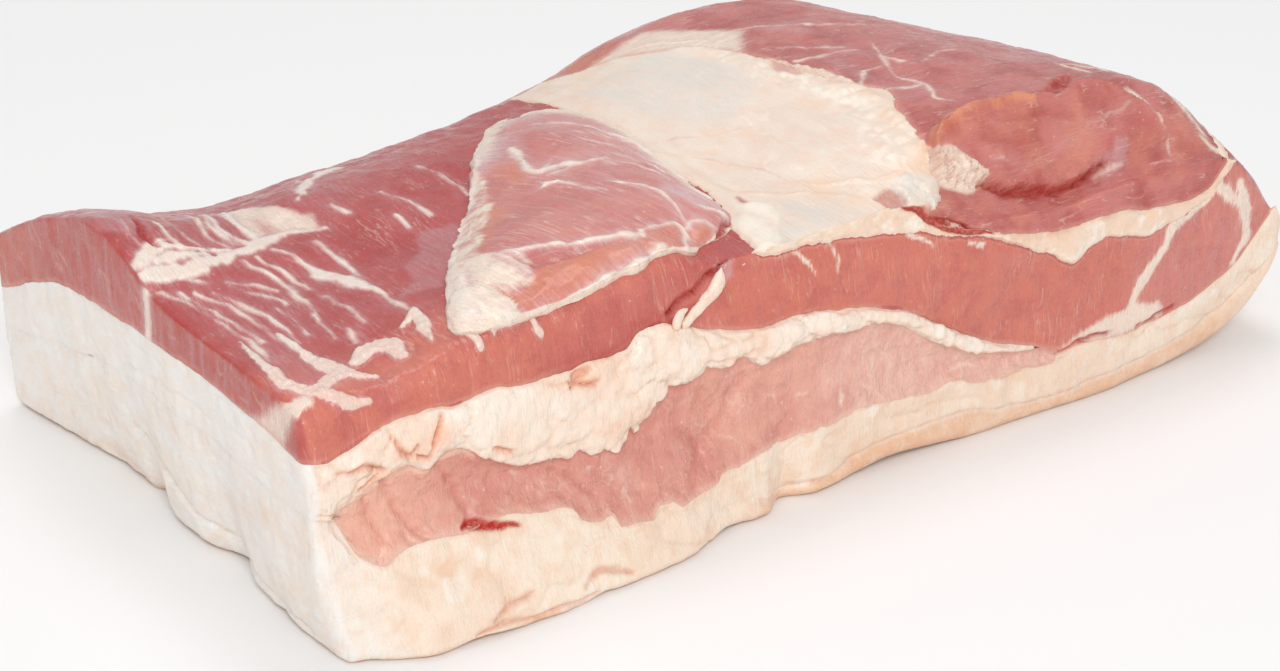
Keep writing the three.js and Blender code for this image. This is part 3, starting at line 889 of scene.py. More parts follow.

# On the two fats the cool grey white, 0xf5f1ed, is painted shade for the sawn end.
BACK_FINISH = Flesh(
    "back_fat_and_rind", tone=0xf7e5d2, tone_two=0xf3dbc6, fibre=0xfceede, blotch=0xf1ccb0,
    line=0xcea096, warm=0xebbc9a, film_and_shade=0xf5f1ed, pale=0xfaf0e4, rim=0xf6d0ba, deep=0xc42218,
    fibre_share=0.3, blotch_scale=190, roughness=0.45, fray=0.3, rim_width=1.2, rim_share=0.55)
SEAM_FINISH = Flesh(
    "seam_fat", tone=0xf9e9da, tone_two=0xf7e2d0, fibre=0xfcf0e4, blotch=0xf5d6c0, line=0xf0bea0,
    warm=0xf3c4a6, film_and_shade=0xf5f1ed, pale=0xfbf1e6, rim=0xf7d4be, deep=0xde8468, fibre_share=0.25,
    blotch_share=0.35, blotch_scale=210, roughness=0.42, fray=0.3, rim_width=1.2, rim_share=0.55)
PALE_LEAN_FINISH = Flesh(
    "pale_lean", tone=0xe2a292, tone_two=0xda9486, fibre=0xeebeac, blotch=0xce8478, line=0xf8e8d8,
    warm=0xf2baa2, film_and_shade=0xefc6b6, pale=0xf6decc, rim=0xf0c2ae, deep=0xc23626, fibre_share=0.35,
    fibre_fineness=0.6, blotch_scale=150, cells=420, painted_glints=0.5, fray=0.7, roughness=0.38,
    grain_height=0.0007, rim_width=2, rim_share=0.7)
LEAN_FINISH = Flesh(
    "upper_lean", tone=0xb95658, tone_two=0xc76a6a, fibre=0xde948e, blotch=0xac4c4e, line=WHITE_FAT,
    warm=0xdd8068, film_and_shade=0xd6b0b6, pale=0xf4dece, rim=0xe8a894, deep=0xb02822, fibre_share=0.34,
    feather=0.5, painted_glints=0.55, sawn_fibres=True, vein_share=0.5, vein_shape=(0.5, 0.035, 0.1),
    vein_width=0.03, halo_share=0.5, roughness=0.31, coat=0.3)
CAP_FINISH = Flesh(
    "membrane", tone=0xf1e0d1, tone_two=0xedd9ca, fibre=0xf8ece0, blotch=0xf1c8ae, line=0xda8c80,
    warm=0xf4d0b2, film_and_shade=0xe2dcd4, pale=0xfaeee0, rim=0xf2ceb8, deep=0xb43a2e, fibre_share=0.3,
    fibre_fineness=0.6, blotch_share=0.35, blotch_scale=150, vein_share=0.4,
    vein_shape=(0.12, 0.05, 0.1), fray=0.3, grain_height=0.0003)
ROUND_FINISH = Flesh(
    "round_lean", tone=0xbe625e, tone_two=0xce7a75, fibre=0xdc9286, blotch=0xae4e4a, line=0xfae6d4,
    warm=0xe29270, film_and_shade=0xdcaaae, pale=0xf6e2d0, rim=0xe4a08e, deep=0xb0342a, fibre_share=0.26,
    fibre_fineness=1.3, blotch_share=0.55, feather=0.4, painted_glints=0.4, vein_share=0.35,
    vein_shape=(0.3, 0.05, 0.1), halo_share=0.2, fray=0.4, roughness=0.32, coat=0.3)
FLAP_FINISH = Flesh(
    "flap_lean", tone=0xcf7c78, tone_two=0xd88c84, fibre=0xeab2a8, blotch=0xc46864, line=WHITE_FAT,
    warm=0xe08a6a, film_and_shade=0xe2c4ca, pale=0xf6e2d0, rim=0xf0d2c2, deep=0xb0382e, fibre_share=0.5,
    blotch_share=0.4, feather=0.7, painted_glints=0.4, vein_share=0.4, vein_shape=(0.45, 0.03, 0.1),
    vein_width=0.03, halo_share=0.4, roughness=0.32, rim_width=1.2, rim_share=0, coat=0.3)


# -------- the layers


@dataclass
class Shade:
    """What a surface's points carry for its finish.

    Line and rim are millimetres outside the drawn lines and from the piece's own borders; warm,
    film, pale and deep are shares, film also being painted shade on the fats' sawn end; grain is
    millimetres across the fibres, along them, and third.
    """

    line: Array
    warm: Array
    film_and_shade: Array
    pale: Array
    deep: Array
    rim: Array
    grain: Array

    def as_fields(self) -> dict[str, Array]:
        """The fields by name, within their bounds."""
        shares = {name: clip01(getattr(self, name)) for name in ("warm", "film_and_shade", "pale", "deep")}
        return {"line": np.clip(self.line, -6, 6), "rim": np.clip(self.rim, -1, 6),
                "grain": self.grain, **shares}


def dress(name: str, c: Canvas, relief: Array, shade: Shade, finish: Flesh, node: str,
          slot: str) -> None:
    """Makes a piece with its relief, fields and finish, and joins it to the part.

    Args:
        name: the piece's name.
        c: its smooth surface.
        relief: how far it stands out of that, in millimetres.
        shade: what its points carry.
        finish: its finish.
        node: the solid that it stands for.
        slot: its material's slot; not used.
    """
    surface = c.surface
    surface.points = c.points + c.normals * relief[:, None]
    surface.points[:, 2] = np.maximum(surface.points[:, 2], 0)
    made = surface.to_object(name, shade.as_fields() | {"sawn": c.end})
    made.data.materials.append(finish.material())
    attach(made, "root")
    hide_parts(node)
    LOG.info("%s: %d triangles", name, 2 * len(surface.quads) + len(surface.triangles))


@dataclass
class Layer:
    """One layer of the slab: the part of its skin between two heights, as a closed surface.

    The wall runs round the plan's outline in rows. The top is a grid that shares the wall's last
    row, or rings that close to one point; the bottom is rings.
    """

    slab: Slab
    name: str
    slot: str
    seed: int
    finish: Flesh
    floor: Height
    roof: Height
    rows: int
    low_edge: float = 0.0
    high_edge: float = 0.0
    grid_top: bool = False
    low_rings: int = 4

    # Stretches of the grid's lines along and across. LEFT draws the first line in to a border,
    # and RIGHT is where the last line along lies then.
    ALONG = ((0, 150, 0.8), (150, LENGTH, 0.85))
    ACROSS = ((0, WIDTH, 0.9),)
    LEFT = None
    RIGHT = LENGTH
    # Whether its skin on the sawn end runs on over its neighbour, and whether the slits cut it.
    shares_end = False
    is_slit = False
    # Rounding of an edge reaches this far in over the top.
    EDGE_REACH = 14
    PASSES = 3
    TOP_RINGS = 4

    def low(self, x: Array, y: Array) -> Array:
        """Height of the layer's underside."""
        return self.floor(x, y)

    def high(self, x: Array, y: Array) -> Array:
        """Height of the layer's top."""
        return self.roof(x, y)

    def paint(self, c: Canvas) -> tuple[Array, Shade]:
        """What the layer looks like.

        Args:
            c: its smooth surface.

        Returns:
            How far each point stands out of it, and what the finish needs there.
        """
        raise NotImplementedError

    def border(self, c: Canvas) -> Array:
        """Millimetres up or down the wall to the nearer neighbour."""
        return np.minimum(c.z - c.at(self.low), c.at(self.high) - c.z)

    def edge_share(self, x: Array, y: Array) -> Pair:
        """How much of the low and high edges' rounding applies at places of the outline."""
        return np.ones_like(x), np.ones_like(x)

    def plan(self, x: Array, y: Array) -> Pair:
        """Where a grid position lies in the plan."""
        if self.LEFT is None:
            return x, y
        left = self.LEFT(y)
        return left + (self.RIGHT - left) * x / self.ALONG[-1][1], y

    def settle(self, grid_x: Array, grid_y: Array, share: Array, inset: Array) -> Array:
        """Points at a share of the layer's height, over grid positions.

        The outline is drawn in, its corners rounded, and moved to the wall at the point's height.
        As that changes the height, it is done in passes.

        Args:
            grid_x: grid positions along.
            grid_y: grid positions across.
            share: 0 on the low surface, 1 on the high one.
            inset: how far an edge is drawn in, in millimetres.

        Returns:
            One row of coordinates for each position.
        """
        x, y = self.plan(grid_x, grid_y)
        left, right, near, far = [clip01(1 - depth / self.EDGE_REACH) ** 2
                                  for depth in (x, LENGTH - x, y, WIDTH - y)]
        x, y = x + inset * (left - right), y + inset * (near - far)
        thin = 1.4 * fall(self.high(x, y) - self.low(x, y), 0.3, 0.7)
        x, y = (x - thin * ease(x, LENGTH - 2, LENGTH - 0.5),
                y + thin * ((y < 2) * 1 - (y > WIDTH - 2)))
        x, y = self.slab.round_corners(x, y)
        at_x, at_y = x, y
        for _ in range(self.PASSES):
            low, high = self.low(at_x, at_y), self.high(at_x, at_y)
            z = low + (np.maximum(high, low) - low) * share
            at_x, at_y = self.slab.place(x, y, z)
        return np.stack([at_x, at_y, z], 1)

    def form(self) -> Surface:
        """The layer's smooth closed surface.

        Returns:
            Wall, top and bottom with shared points and outward faces.
        """
        across, along = spaced(*self.ALONG), spaced(*self.ACROSS)
        nx, ny = len(across) - 1, len(along) - 1
        loop_i = np.concatenate([np.arange(nx), np.full(ny, nx), np.arange(nx, 0, -1),
                                 np.zeros(ny, int)])
        loop_j = np.concatenate([np.zeros(nx, int), np.arange(ny), np.full(nx, ny),
                                 np.arange(ny, 0, -1)])
        around, levels = len(loop_i), self.rows + 1
        loop_x, loop_y = across[loop_i], along[loop_j]
        base_x, base_y, _ = self.settle(loop_x, loop_y, np.zeros(around), np.zeros(around)).T
        thick = np.maximum(self.high(base_x, base_y) - self.low(base_x, base_y), 0)
        low_share, high_share = self.edge_share(base_x, base_y)
        share = 0.5 - 0.5 * np.cos(np.linspace(0, np.pi, levels))
        share = 0.45 * share + 0.55 * np.linspace(0, 1, levels)

        def drawn_in(depth: Array, edge: Array) -> Array:
            """A quarter round: r - sqrt(r^2 - (r - d)^2) at depth d from an edge of radius r."""
            radius = np.tile(edge, levels)
            short = clip01(1 - depth / np.maximum(radius, 1e-6))
            return radius * (1 - np.sqrt(1 - short * short))

        level, depth = np.repeat(share, around), np.tile(thick, levels)
        inset = np.maximum(drawn_in(depth * level, self.low_edge * low_share),
                           drawn_in(depth * (1 - level), self.high_edge * high_share))
        parts = [self.settle(np.tile(loop_x, levels), np.tile(loop_y, levels), level, inset)]
        index = np.arange(around * levels).reshape(levels, around)
        quads, triangles, used = [band(index)], [], index.size

        def rings(count: int, level_share: float, edge: Array, start: Array, up: bool) -> None:
            """Closes one end of the wall with shrinking rings and a fan.

            Args:
                count: number of rings.
                level_share: 0 for the underside, 1 for the top.
                edge: the inset along the wall's last row.
                start: the wall's row that the rings start from.
                up: whether the end faces up.
            """
            nonlocal used
            mid_x, mid_y = across.mean(), along.mean()
            last = start
            for ring in range(1, count + 1):
                shrink = 1 - ring / (count + 1)
                x, y = mid_x + (loop_x - mid_x) * shrink, mid_y + (loop_y - mid_y) * shrink
                parts.append(self.settle(x, y, np.full(around, level_share), edge))
                fresh = used + np.arange(around)
                used += around
                quads.append(band(np.stack((last, fresh) if up else (fresh, last))))
                last = fresh
            parts.append(self.settle(np.array([mid_x]), np.array([mid_y]),
                                     np.array([level_share]), np.zeros(1)))
            pole, after = np.full(around, used), np.roll(last, -1)
            used += 1
            triangles.append(np.stack((last, after, pole) if up else (after, last, pole), -1))

        rings(self.low_rings, 0, inset[:around], index[0], False)
        hidden = [np.stack([index[0], index[1]], 1)]
        if self.grid_top:
            grid = np.zeros((nx + 1, ny + 1), int)
            grid[loop_i, loop_j] = index[-1]
            inner_i, inner_j = [part.ravel() for part in np.meshgrid(
                np.arange(1, nx), np.arange(1, ny), indexing="ij")]
            grid[inner_i, inner_j] = used + np.arange(inner_i.size)
            inner_x, inner_y = across[inner_i], along[inner_j]
            edge = self.high_edge * self.edge_share(*self.plan(inner_x, inner_y))[1]
            parts.append(self.settle(inner_x, inner_y, np.ones(inner_i.size), edge))
            quads.append(np.stack([grid[:-1, :-1], grid[1:, :-1], grid[1:, 1:], grid[:-1, 1:]],
                                  -1).reshape(-1, 4))
        else:
            rings(self.TOP_RINGS, 1, inset[-around:], index[-1], True)
            hidden.append(np.stack([index[-1], index[-2]], 1))
        return Surface(np.concatenate(parts), np.concatenate(quads), np.concatenate(triangles),
                       np.concatenate(hidden))

    def build(self) -> None:
        """Makes and dresses the layer; its relief ends flush with its neighbours."""
        c = Canvas(self.form(), self.seed)
        relief, shade = self.paint(c)
        flush = ease(self.border(c), -0.1, 0.9)
        relief = relief * (flush + (1 - flush) * (c.end if self.shares_end else c.flat))
        cuts = c.laid((1.2, FAT_SLIT, 0.7), (1, END_SLIT, 0.8)) if self.is_slit else c.flat
        dress(self.name + "_dressed", c, relief - cuts, shade, self.finish, self.name, self.slot)


# Drawn marks: each is a flat row of its points, (position, position, half width) for lines and
# (position, position) for the outlines of patches.
TOP_SINEWS = lines(TOP, (-6, 80, 1.4, -2, 83, 2.2, 3, 87, 2.2, 8, 86.5, 1.6, 14, 85.5, 1.2, 20, 84, 1.8),
    (-7, 76, 1.6, -3, 76.5, 3, 2, 76.5, 3.2, 7, 76, 2.6, 11, 79, 2.6, 16, 80, 2.4, 21, 82, 2, 25, 83, 2.4,
    30, 86, 2.8, 35, 88.5, 2, 38, 90, 0.5), (0, 81, 1.2, 4, 81.5, 2.2, 9, 82.5, 1.6, 14, 83, 0.8), (1, 88,
    0.6, 5, 90, 0.9, 9, 90, 0.3), (4, 73, 0.8, 6, 71.5, 1, 9, 71, 0.3), (33, 88, 1.4, 39, 89, 1.2, 47,
    85.5, 0.3), (26, 112, 0.3, 24, 98, 0.6, 26, 86, 1.2), (32, 113, 0.3, 29.5, 101, 0.7, 30, 89, 1.2),
    (72, 130, 3.4, 66, 123, 1.8, 61, 120, 1.4, 55, 112, 1.4, 49, 103, 0.5), (62, 130, 0.3, 56, 111, 0.7),
    (0, 104, 0.3, -1.5, 93, 0.6, 0, 84, 0.6), (8, 101, 0.3, 8, 91, 0.5), (8, 90, 0.4, 11, 84, 0.6, 14, 82,
    0.5), (13, 107, 0.3, 12, 92, 0.5, 16, 86, 0.6), (26, 124, 0.1, 22, 108, 0.4, 19, 94, 0.6, 21, 86,
    0.7), (26, 113, 0.3, 22, 98, 0.6, 24, 87, 0.6), (-4, 70, 0.4, 0, 62, 0.5, 2, 51, 0.5, 4, 40, 0.4, 3,
    28, 0.1), (0, 68, 0.6, 3, 58, 0.6, 5, 47, 0.5, 6, 38, 0.3), (3, 67, 0.6, 8, 59, 0.6, 9, 51, 0.6, 10,
    42, 0.6, 10, 31, 0.4), (8, 66, 0.6, 11, 57, 0.7, 13, 50, 0.7, 13.5, 41, 0.5, 13, 33, 0.2), (13, 70,
    0.8, 18, 66, 0.7, 21, 61, 0.5), (13, 68, 0.5, 18, 60, 0.5, 20, 53, 0.3), (21, 78, 0.9, 24.5, 67, 0.8,
    24, 56, 0.8, 24, 47, 0.6, 22, 38, 0.5, 21, 31, 0.2), (25, 79, 0.6, 28, 68, 0.6, 28, 58, 0.3), (31, 81,
    0.7, 34, 76, 0.6, 34.5, 68, 0.9, 35.5, 63, 2.8, 38, 55, 2.6, 40, 47, 1, 40, 38, 0.6, 40, 28, 0.6),
    (42, 80, 0.2, 42, 66, 0.5, 41, 57, 0.3), (17, 52, 0.2, 18, 44, 0.6, 17, 36, 0.3), (69, 94, 0.3, 71,
    85, 0.4, 72, 75, 0.3), (86, 104, 0.2, 88, 95, 0.4, 87, 80, 0.3), (26, 34, 0.3, 24, 26, 0.6), (30, 52,
    0.2, 31, 42, 0.6, 30, 33, 0.2), (55, 96, 0.4, 56, 89, 0.9), (64, 79, 0.5, 64, 72, 0.8))
FAR_SINEW = patches(TOP, (31, 115, 37, 113.5, 42, 105.5, 45, 98.5, 47.5, 94, 46, 86, 42, 87.5, 37, 90, 31,
    91, 30.5, 97, 30, 104))
TOP_SCRAPS = lines(TOP, (2, 41, 0.3, 1, 32, 1.1, 0.5, 23, 1.7, 0.5, 15, 2.2, 4, 9, 2.4, 9, 5, 2, 14, 3,
    0.8), (11, 40, 0.5, 11, 29, 1.6, 12, 23, 2.2, 13, 16, 2.8, 19, 9, 1.2), (4, 8, 1.2, 9, 12, 2.4, 14,
    14, 2), (19, 17, 2, 24, 20, 3.4, 29, 19, 3, 28, 12, 0.8), (35, 23, 1, 40, 27, 1.8, 38, 19, 1.8, 36,
    12, 0.5), (29, 17.5, 0.6, 29, 12, 0.9))
FLAP_TONGUE = patches(TOP, (48, 24, 43, 19, 41.5, 11, 43, 4, 45, 5, 46, 9, 48.5, 8, 49, 5.5, 51, 7, 56, 7,
    57, 12, 53, 20))
FLAP_TAG = lines(FRONT, (60, 67.5, 1, 60, 64.6, 1.3))
TOP_FILMS = patches(TOP, (63, 66, 66, 68, 74, 67, 75, 60, 62, 46, 53, 37, 43, 38, 50, 44, 51.5, 52, 60,
    58), (-14, 100, 4, 92, 8, 112, 2, 165, -16, 165))
SOFT_FILMS = patches(TOP, (50, 100, 52, 91, 64, 104, 82, 112, 90, 126, 64, 122), (3, 38, 10, 38, 13, 24,
    12, 12, 3, 10, 2, 24))
PEARLY = patches(TOP, (14, 92, 48, 92, 60, 106, 40, 116, 20, 110), (2, 70, 22, 74, 30, 62, 24, 30, 8, 30))
TOP_SLITS = lines(TOP, (4.5, 105, 0, 2.4, 95, 0.8, 3.2, 87, 0.4))
END_GAPS = lines(END, (72, 70, 1.4, 73, 61, 0.9, 75, 50, 1.6))
END_WEDGE = patches(END, (26, 50, 17, 56, 7, 63, 5, 62, 11, 53, 10, 48))
WEDGE_TOP = lines(TOP, (-5, 8, 1, -2, 7.5, 1.2, 1, 7, 0.8))
END_SEAM = lines(END, (138, 27, 0.1, 113, 34, 0.2, 91, 40, 0.2, 63, 44, 0.1, 45, 43, 0.2, 11, 49, 0.1))
SKIN_SEAM = lines(END, (99, 21, 0.1, 88, 19, 0.4, 76, 14.5, 0.4, 63, 9, 0.5, 53, 7, 0.4, 37, 5, 0.3, 9, 3,
    0.1))
END_PEACH = lines(END, (68, 37, 0.6, 66, 29, 1.2), (36, 32, 1.2, 35, 28, 1), (24, 31, 0.6, 23, 27, 1),
    (100, 3, 2, 92, 2, 1), (138, 14, 1.5, 139, 10, 1), (110, 5, 2.5, 104, 3, 2))
END_SPECKS = lines(END, (88, 41.5, 0.2, 88, 40.4, 0.3))
GAP_CREVICE = lines(FRONT, (114.5, 69.4, 0.6, 112.2, 67.5, 0.5, 108, 66.4, 0.4, 103.5, 63.8, 0.4, 99,
    62.6, 0.4, 95.5, 60.5, 0.3))
GAP_GREY = patches(FRONT, (111, 69.5, 117, 68.5, 116, 66, 112, 64.5))
LEAN_VEINS = lines(FRONT, (134, 67.5, 0.2, 138, 63, 0.3, 140, 60, 0), (146, 67, 0.1, 148, 62, 0.3, 147,
    59, 0), (170, 63, 0.4, 175, 61, 0.5, 178, 59, 0.1), (190, 57, 0.3, 195, 55, 0.4))
Y_SEAM = lines(FRONT, (285, 60, 0.8, 282, 55.5, 1.6, 278, 51.5, 1.2, 272, 47, 1, 265, 44, 0.8, 262, 38,
    0.6, 258, 33, 0.9, 255, 30, 0.9, 252, 24, 0.2), (281, 52.5, 0.9, 290, 46.5, 0.7, 295, 40.5, 0.5, 296,
    34, 0.4, 291, 27, 0.1), (291, 51, 0.4, 294, 47, 0.3, 296, 42, 0.3))
SEAM_CREVICES = lines(FRONT, (26.5, 45, 0.3, 28, 49, 0.4, 31, 53, 0.1), (18, 52, 0.1, 20, 48.5, 0.3, 21.5,
    46.5, 0.4, 23.4, 49, 0.1), (23.5, 46.2, 0.3, 27, 44.8, 0.3), (4, 47.4, 0.1, 10, 47, 0.3, 15, 44.6,
    0.4), (9, 41.4, 0.3, 13, 43.2, 0.2), (66, 50.5, 0.1, 71, 53.6, 0.4, 67, 53.2, 0.1), (66, 51.6, 0.1,
    73, 50.6, 0.3), (76, 55, 0.1, 78, 58.6, 0.4, 80, 58, 0.1), (43, 42.5, 0.2, 48, 40.5, 0.3))
SEAM_WARM = patches(FRONT, (58, 54, 68, 50, 80, 53, 82, 57, 66, 56), (14, 50, 24, 46, 32, 50, 24, 55), (6,
    38, 14, 42, 12, 46))
RIND_LINE = (110, 9, 128, 3, 145, 4, 153, 6, 168, 7.6, 189, 8, 206, 5, 222, 4, 238, 5, 256, 6, 275, 8.5,
    290, 12.5, 303, 21, 316, 33)
FAT_SLIT = patches(FRONT, (33.5, 24.3, 36, 25.1, 38.5, 25.4, 41, 24.7, 44, 23.4, 48.5, 21.7, 44, 22.6, 38,
    24.2))
END_SLIT = lines(FRONT, (222, 15.6, 0.2, 226, 17.4, 0.3, 230, 18.4, 0.6, 236, 18.4, 0.5, 240, 17.8, 0.2,
    246, 17.2, 0.1), (254, 17.4, 0.1, 261, 18.2, 0.4, 268, 19.2, 0.1))
PALE_WEDGE = patches(FRONT, (226, 18.5, 236, 21.5, 245, 23, 254, 23, 262, 22, 264, 18, 246, 16, 236, 16))
TAN_STREAK = lines(FRONT, (131, 4.6, 0.2, 138, 4, 0.6, 146, 2.8, 0.2))
FAT_CREASES = lines(FRONT, (31, 2.4, 0.1, 37, 3.4, 0.4, 42, 3.2, 0.4, 46, 2.2, 0.4, 54, 2.4, 0.4, 64, 1.6,
    0.1), (36, 4.6, 0.1, 41, 7, 0.3, 47, 7.4, 0.1), (61, 4.6, 0.1, 66, 6.2, 0.4, 71, 5.2, 0.4, 75, 3.4,
    0.1))
CAP_VEINS = lines(TOP, (143, 73, 0.1, 147, 72, 0.35, 151, 67, 0.2, 158, 64, 0.35, 164, 60, 0), (141,
    64, 0, 146, 57, 0.3, 149, 50, 0.35, 152, 44, 0.35, 155, 37, 0.3, 154, 32, 0.1))
RED_SPOT = lines(TOP, (139, 34, 0.3, 138.6, 31, 0.6))
CAP_LUMPS = lines(TOP, (176, 112, 1, 182, 98, 2, 184, 84, 2.5, 186, 72, 2.5, 190, 60, 3, 190, 48, 3,
    184, 36, 2.5, 180, 24, 2))
CAP_COOL = patches(TOP, (148, 112, 168, 116, 178, 96, 176, 76, 162, 70, 150, 88), (126, 20, 140, 22,
    152, 16, 150, 9, 130, 8))
CAP_BRIGHT = patches(TOP, (119, 9, 130, 23, 136, 30, 140, 29.5, 142, 25, 139, 18, 130, 6, 120, 3))
CAP_FOLDS = lines(TOP, (137, 72, 0.2, 141, 63, 0.4, 138.5, 51, 0.5, 139.5, 38, 0.5, 146, 30, 0.6,
    155, 25, 0.6, 160, 19, 0.5, 163, 13, 0.2), (154, 33, 0.2, 161, 25, 0.5, 170, 18.5, 0.6, 182, 16.5,
    0.7, 188, 18, 0.3))
CAP_PINK = patches(TOP, (188.5, 85, 192, 79, 189, 73, 186, 78), (193, 82, 197, 76, 194, 74, 190, 78))
BORDER_FAT = lines(TOP, (183, 92, 0.6, 188, 85, 1.2, 190, 76, 1.6, 193.5, 69, 2.2, 195, 60, 2, 194.5, 50,
    1.8, 195.5, 44, 1.4, 193, 37, 1.4, 190, 31, 1.2, 188, 25, 1.2, 190, 20, 0.6))
PALE_CORNER = patches(TOP, (160, 131, 170, 132, 178, 133, 196, 110, 188, 99, 182, 92, 176, 100, 168, 120))
CAP_WEDGE = patches(TOP, (166, 12, 171, 14.5, 174, 11, 173, 5, 167, 5))
GREY_SKIN = patches(TOP, (171, 14, 180, 16, 188, 14, 186, 9, 180, 7, 174, 8))
ROUND_SINEWS = lines(TOP, (222, 81, 0.3, 215, 67, 0.5, 210, 56, 0.5, 213, 47, 0.5, 208, 38, 0.6, 211, 33,
    0.3), (213, 47, 0.3, 202, 50, 0.5, 192, 49, 0.6), (198, 57, 0.6, 205, 64, 0.5, 212, 64, 0.3), (193,
    80, 0.8, 199, 79, 0.6, 208, 80, 0.4, 214, 78, 0.2), (222, 60, 0.3, 232, 65, 0.4, 240, 66, 0.2), (196,
    92, 0.2, 206, 86, 0.4, 212, 82, 0.2), (196, 112, 0.2, 214, 104, 0.5, 236, 96, 0.1), (217, 70, 0.6,
    219, 64, 1), (170, 128, 0.6, 178, 120, 1.2, 186, 112, 0.4), (262.5, 21, 0.6, 265, 19, 1.2, 268, 15,
    0.5, 270, 11, 0.4, 269, 8, 0.2), (259, 43, 0.6, 259.5, 38, 1.5, 260, 33, 0.8))
TAN_LINE = lines(TOP, (260, 18, 0.3, 252, 16, 0.4, 244, 15, 0.4, 236, 14, 0.4, 226, 13, 0.3, 219, 12,
    0.2))
FOLD = patches(TOP, (188, 14, 190, 19, 194, 22, 200, 24.5, 212, 25.5, 226, 25.5, 238, 24, 250, 25, 262,
    20, 270, 14, 270, 10, 262, 9, 252, 10, 245, 9, 238, 8, 227, 7.6, 216, 8, 208, 9, 202, 11, 195, 12))
FOLD_RIM = lines(TOP, (189.5, 16, 0.5, 191, 19, 0.9, 194, 21.6, 1, 198.5, 23.6, 1, 206, 24.4, 1, 216,
    24.4, 0.9, 225, 24, 0.7, 229, 22.6, 0.3))
FOLD_FOOT = lines(TOP, (200, 10.6, 0.2, 208, 8.8, 0.5, 216, 7.8, 0.6, 227, 7.4, 0.6, 238, 7.8, 0.5, 246,
    8.8, 0.3))
FOLD_CREASES = lines(TOP, (212, 6.6, 0.1, 222, 5.6, 0.4, 232, 5.6, 0.4, 241, 6.6, 0.1), (206, 17, 0.1,
    216, 15, 0.3, 226, 15.5, 0.1), (214, 20, 0.1, 228, 19, 0.3, 240, 17, 0.1))
FOLD_TOP_CREVICE = lines(TOP, (224, 26.4, 0.2, 230, 25.2, 0.8, 238, 24.6, 1.4, 244, 27, 1.6, 248, 30, 1.2,
    252, 33, 0.3))
RED_NOOK = lines(TOP, (243, 29.5, 0.2, 246, 30, 0.8, 248, 30.5, 0.4))
FOLD_WARM = patches(TOP, (188, 14, 190, 20, 199, 25.4, 217, 26, 226, 24.6, 217, 22, 204, 21, 195, 17),
    (254, 9, 259, 10.4, 263, 10, 260, 8, 253, 7))
FOLD_SCRAPS = lines(TOP, (206, 14, 0.5, 210, 13.2, 0.9, 217, 12, 0.3), (239, 7.2, 0.6, 245, 8, 1, 251,
    8.4, 0.5))
FOLD_FILM = patches(TOP, (250, 13, 254, 12, 253, 8.5, 243, 7.5, 240, 9, 248, 10))
FOLD_FAT = patches(TOP, (185, 17, 189, 20, 196, 18, 201, 14.5, 204, 12, 202, 10, 195, 10, 190, 11, 186,
    13))
ROUND_EDGE_SLIT = lines(FRONT, (171, 70, 0.2, 174.5, 68.6, 0.9, 178, 65.4, 1.2, 182, 63.4, 1.1, 189, 60.4,
    0.8, 198, 57.8, 0.3))
ROUND_END_FAT = lines(TOP, (262, 44, 0.5, 268, 36, 1.6, 272, 30, 0.8), (279, 24, 0.8, 284, 17, 1.8, 287,
    12, 1), (285, 10, 0.8, 289, 6, 1.4, 292, 3, 0.8))
FLAP_FAT = lines(TOP, (106, 109, 0.3, 97, 92, 0.7, 89, 81, 1.2, 83, 73.5, 1.6, 76, 66, 1.8, 67, 56, 2, 60,
    46, 2.4, 54, 34, 2.8, 49, 22, 3.2, 46, 13, 2.4), (99, 61, 0.1, 111, 63, 0.3, 117, 62, 0.5, 121, 56,
    0.5, 125, 48, 0.4, 127, 36, 0.3), (107, 49, 0, 112, 43, 0.5, 115, 36, 0.7, 115, 28, 0.4, 113, 21,
    0.1), (118, 85, 0, 127, 81, 0.3, 133, 74, 0.6, 141, 69, 0.9), (119, 99, 0.1, 127, 91, 0.6, 132, 80,
    0.9, 137, 66, 1.2, 139, 50, 1.6), (119, 79, 0, 128, 69, 0.3, 133, 58, 0.6, 137, 46, 1), (121, 66, 0,
    128, 56, 0.3, 131, 44, 0.5, 133, 34, 1), (105, 87, 0.8, 101, 78, 1.1, 98.5, 69, 1.3, 99, 65, 1.5, 105,
    65.5, 1.2, 110, 62.5, 1.3), (102, 67, 0.6, 106, 71, 0.1), (92, 55, 0.2, 96, 56.5, 1.3, 99, 55, 1.1,
    100.5, 48, 0.2, 105, 43, 0), (64, 28, 0.5, 73, 25, 0.9, 81, 21.4, 1.2, 89, 20.2, 1.2, 97, 18, 1.2),
    (100, 11, 1, 96, 8, 1.2, 87, 6.6, 1.8, 78, 6, 1.8, 71, 5, 1.8, 62, 5, 2, 54, 7, 1.6), (96, 10, 1.2,
    100, 10.5, 1.2, 95, 7, 1.6), (98, 19, 0.5, 104, 20.2, 0.4, 110, 20.4, 0.6, 110.6, 16, 0.8, 107, 11.6,
    0.6, 102, 9, 0.4), (111, 18.6, 0.6, 115, 21, 0.3, 119, 20.4, 0.5, 121, 17, 0.3, 116, 14.4, 0.4), (122,
    27, 0.4, 127, 24, 1, 126, 21, 0.5))
FLAP_RIM_FAT = patches(TOP, (91, 84, 86, 69, 76, 53, 67, 42, 60, 33, 66, 26, 68, 22, 65, 15, 58, 14, 52,
    19, 46, 22, 44, 14, 40, 18, 54, 42, 70, 64))
FLAP_LOBES = patches(TOP, (98, 18, 104, 19.4, 109, 19.4, 109.4, 15.6, 106.4, 12, 102.6, 9.6, 97.6, 9.6,
    94.8, 12.4), (112, 17, 113, 19.6, 118, 19.8, 119.4, 17.6, 115.6, 15.2, 110.6, 13.6))
FLAP_BLOCK = patches(TOP, (50, 17, 51, 10.5, 59, 7.6, 68, 7.6, 81, 8.6, 95, 10, 95.5, 15.6, 87, 17, 78,
    17, 67, 16, 62, 11.5, 57, 13))
FLAP_STRIP = patches(TOP, (66, 24, 73, 23, 81, 19.4, 89, 18.4, 95, 16.6, 87, 17.6, 78, 17.6, 68, 18.6))
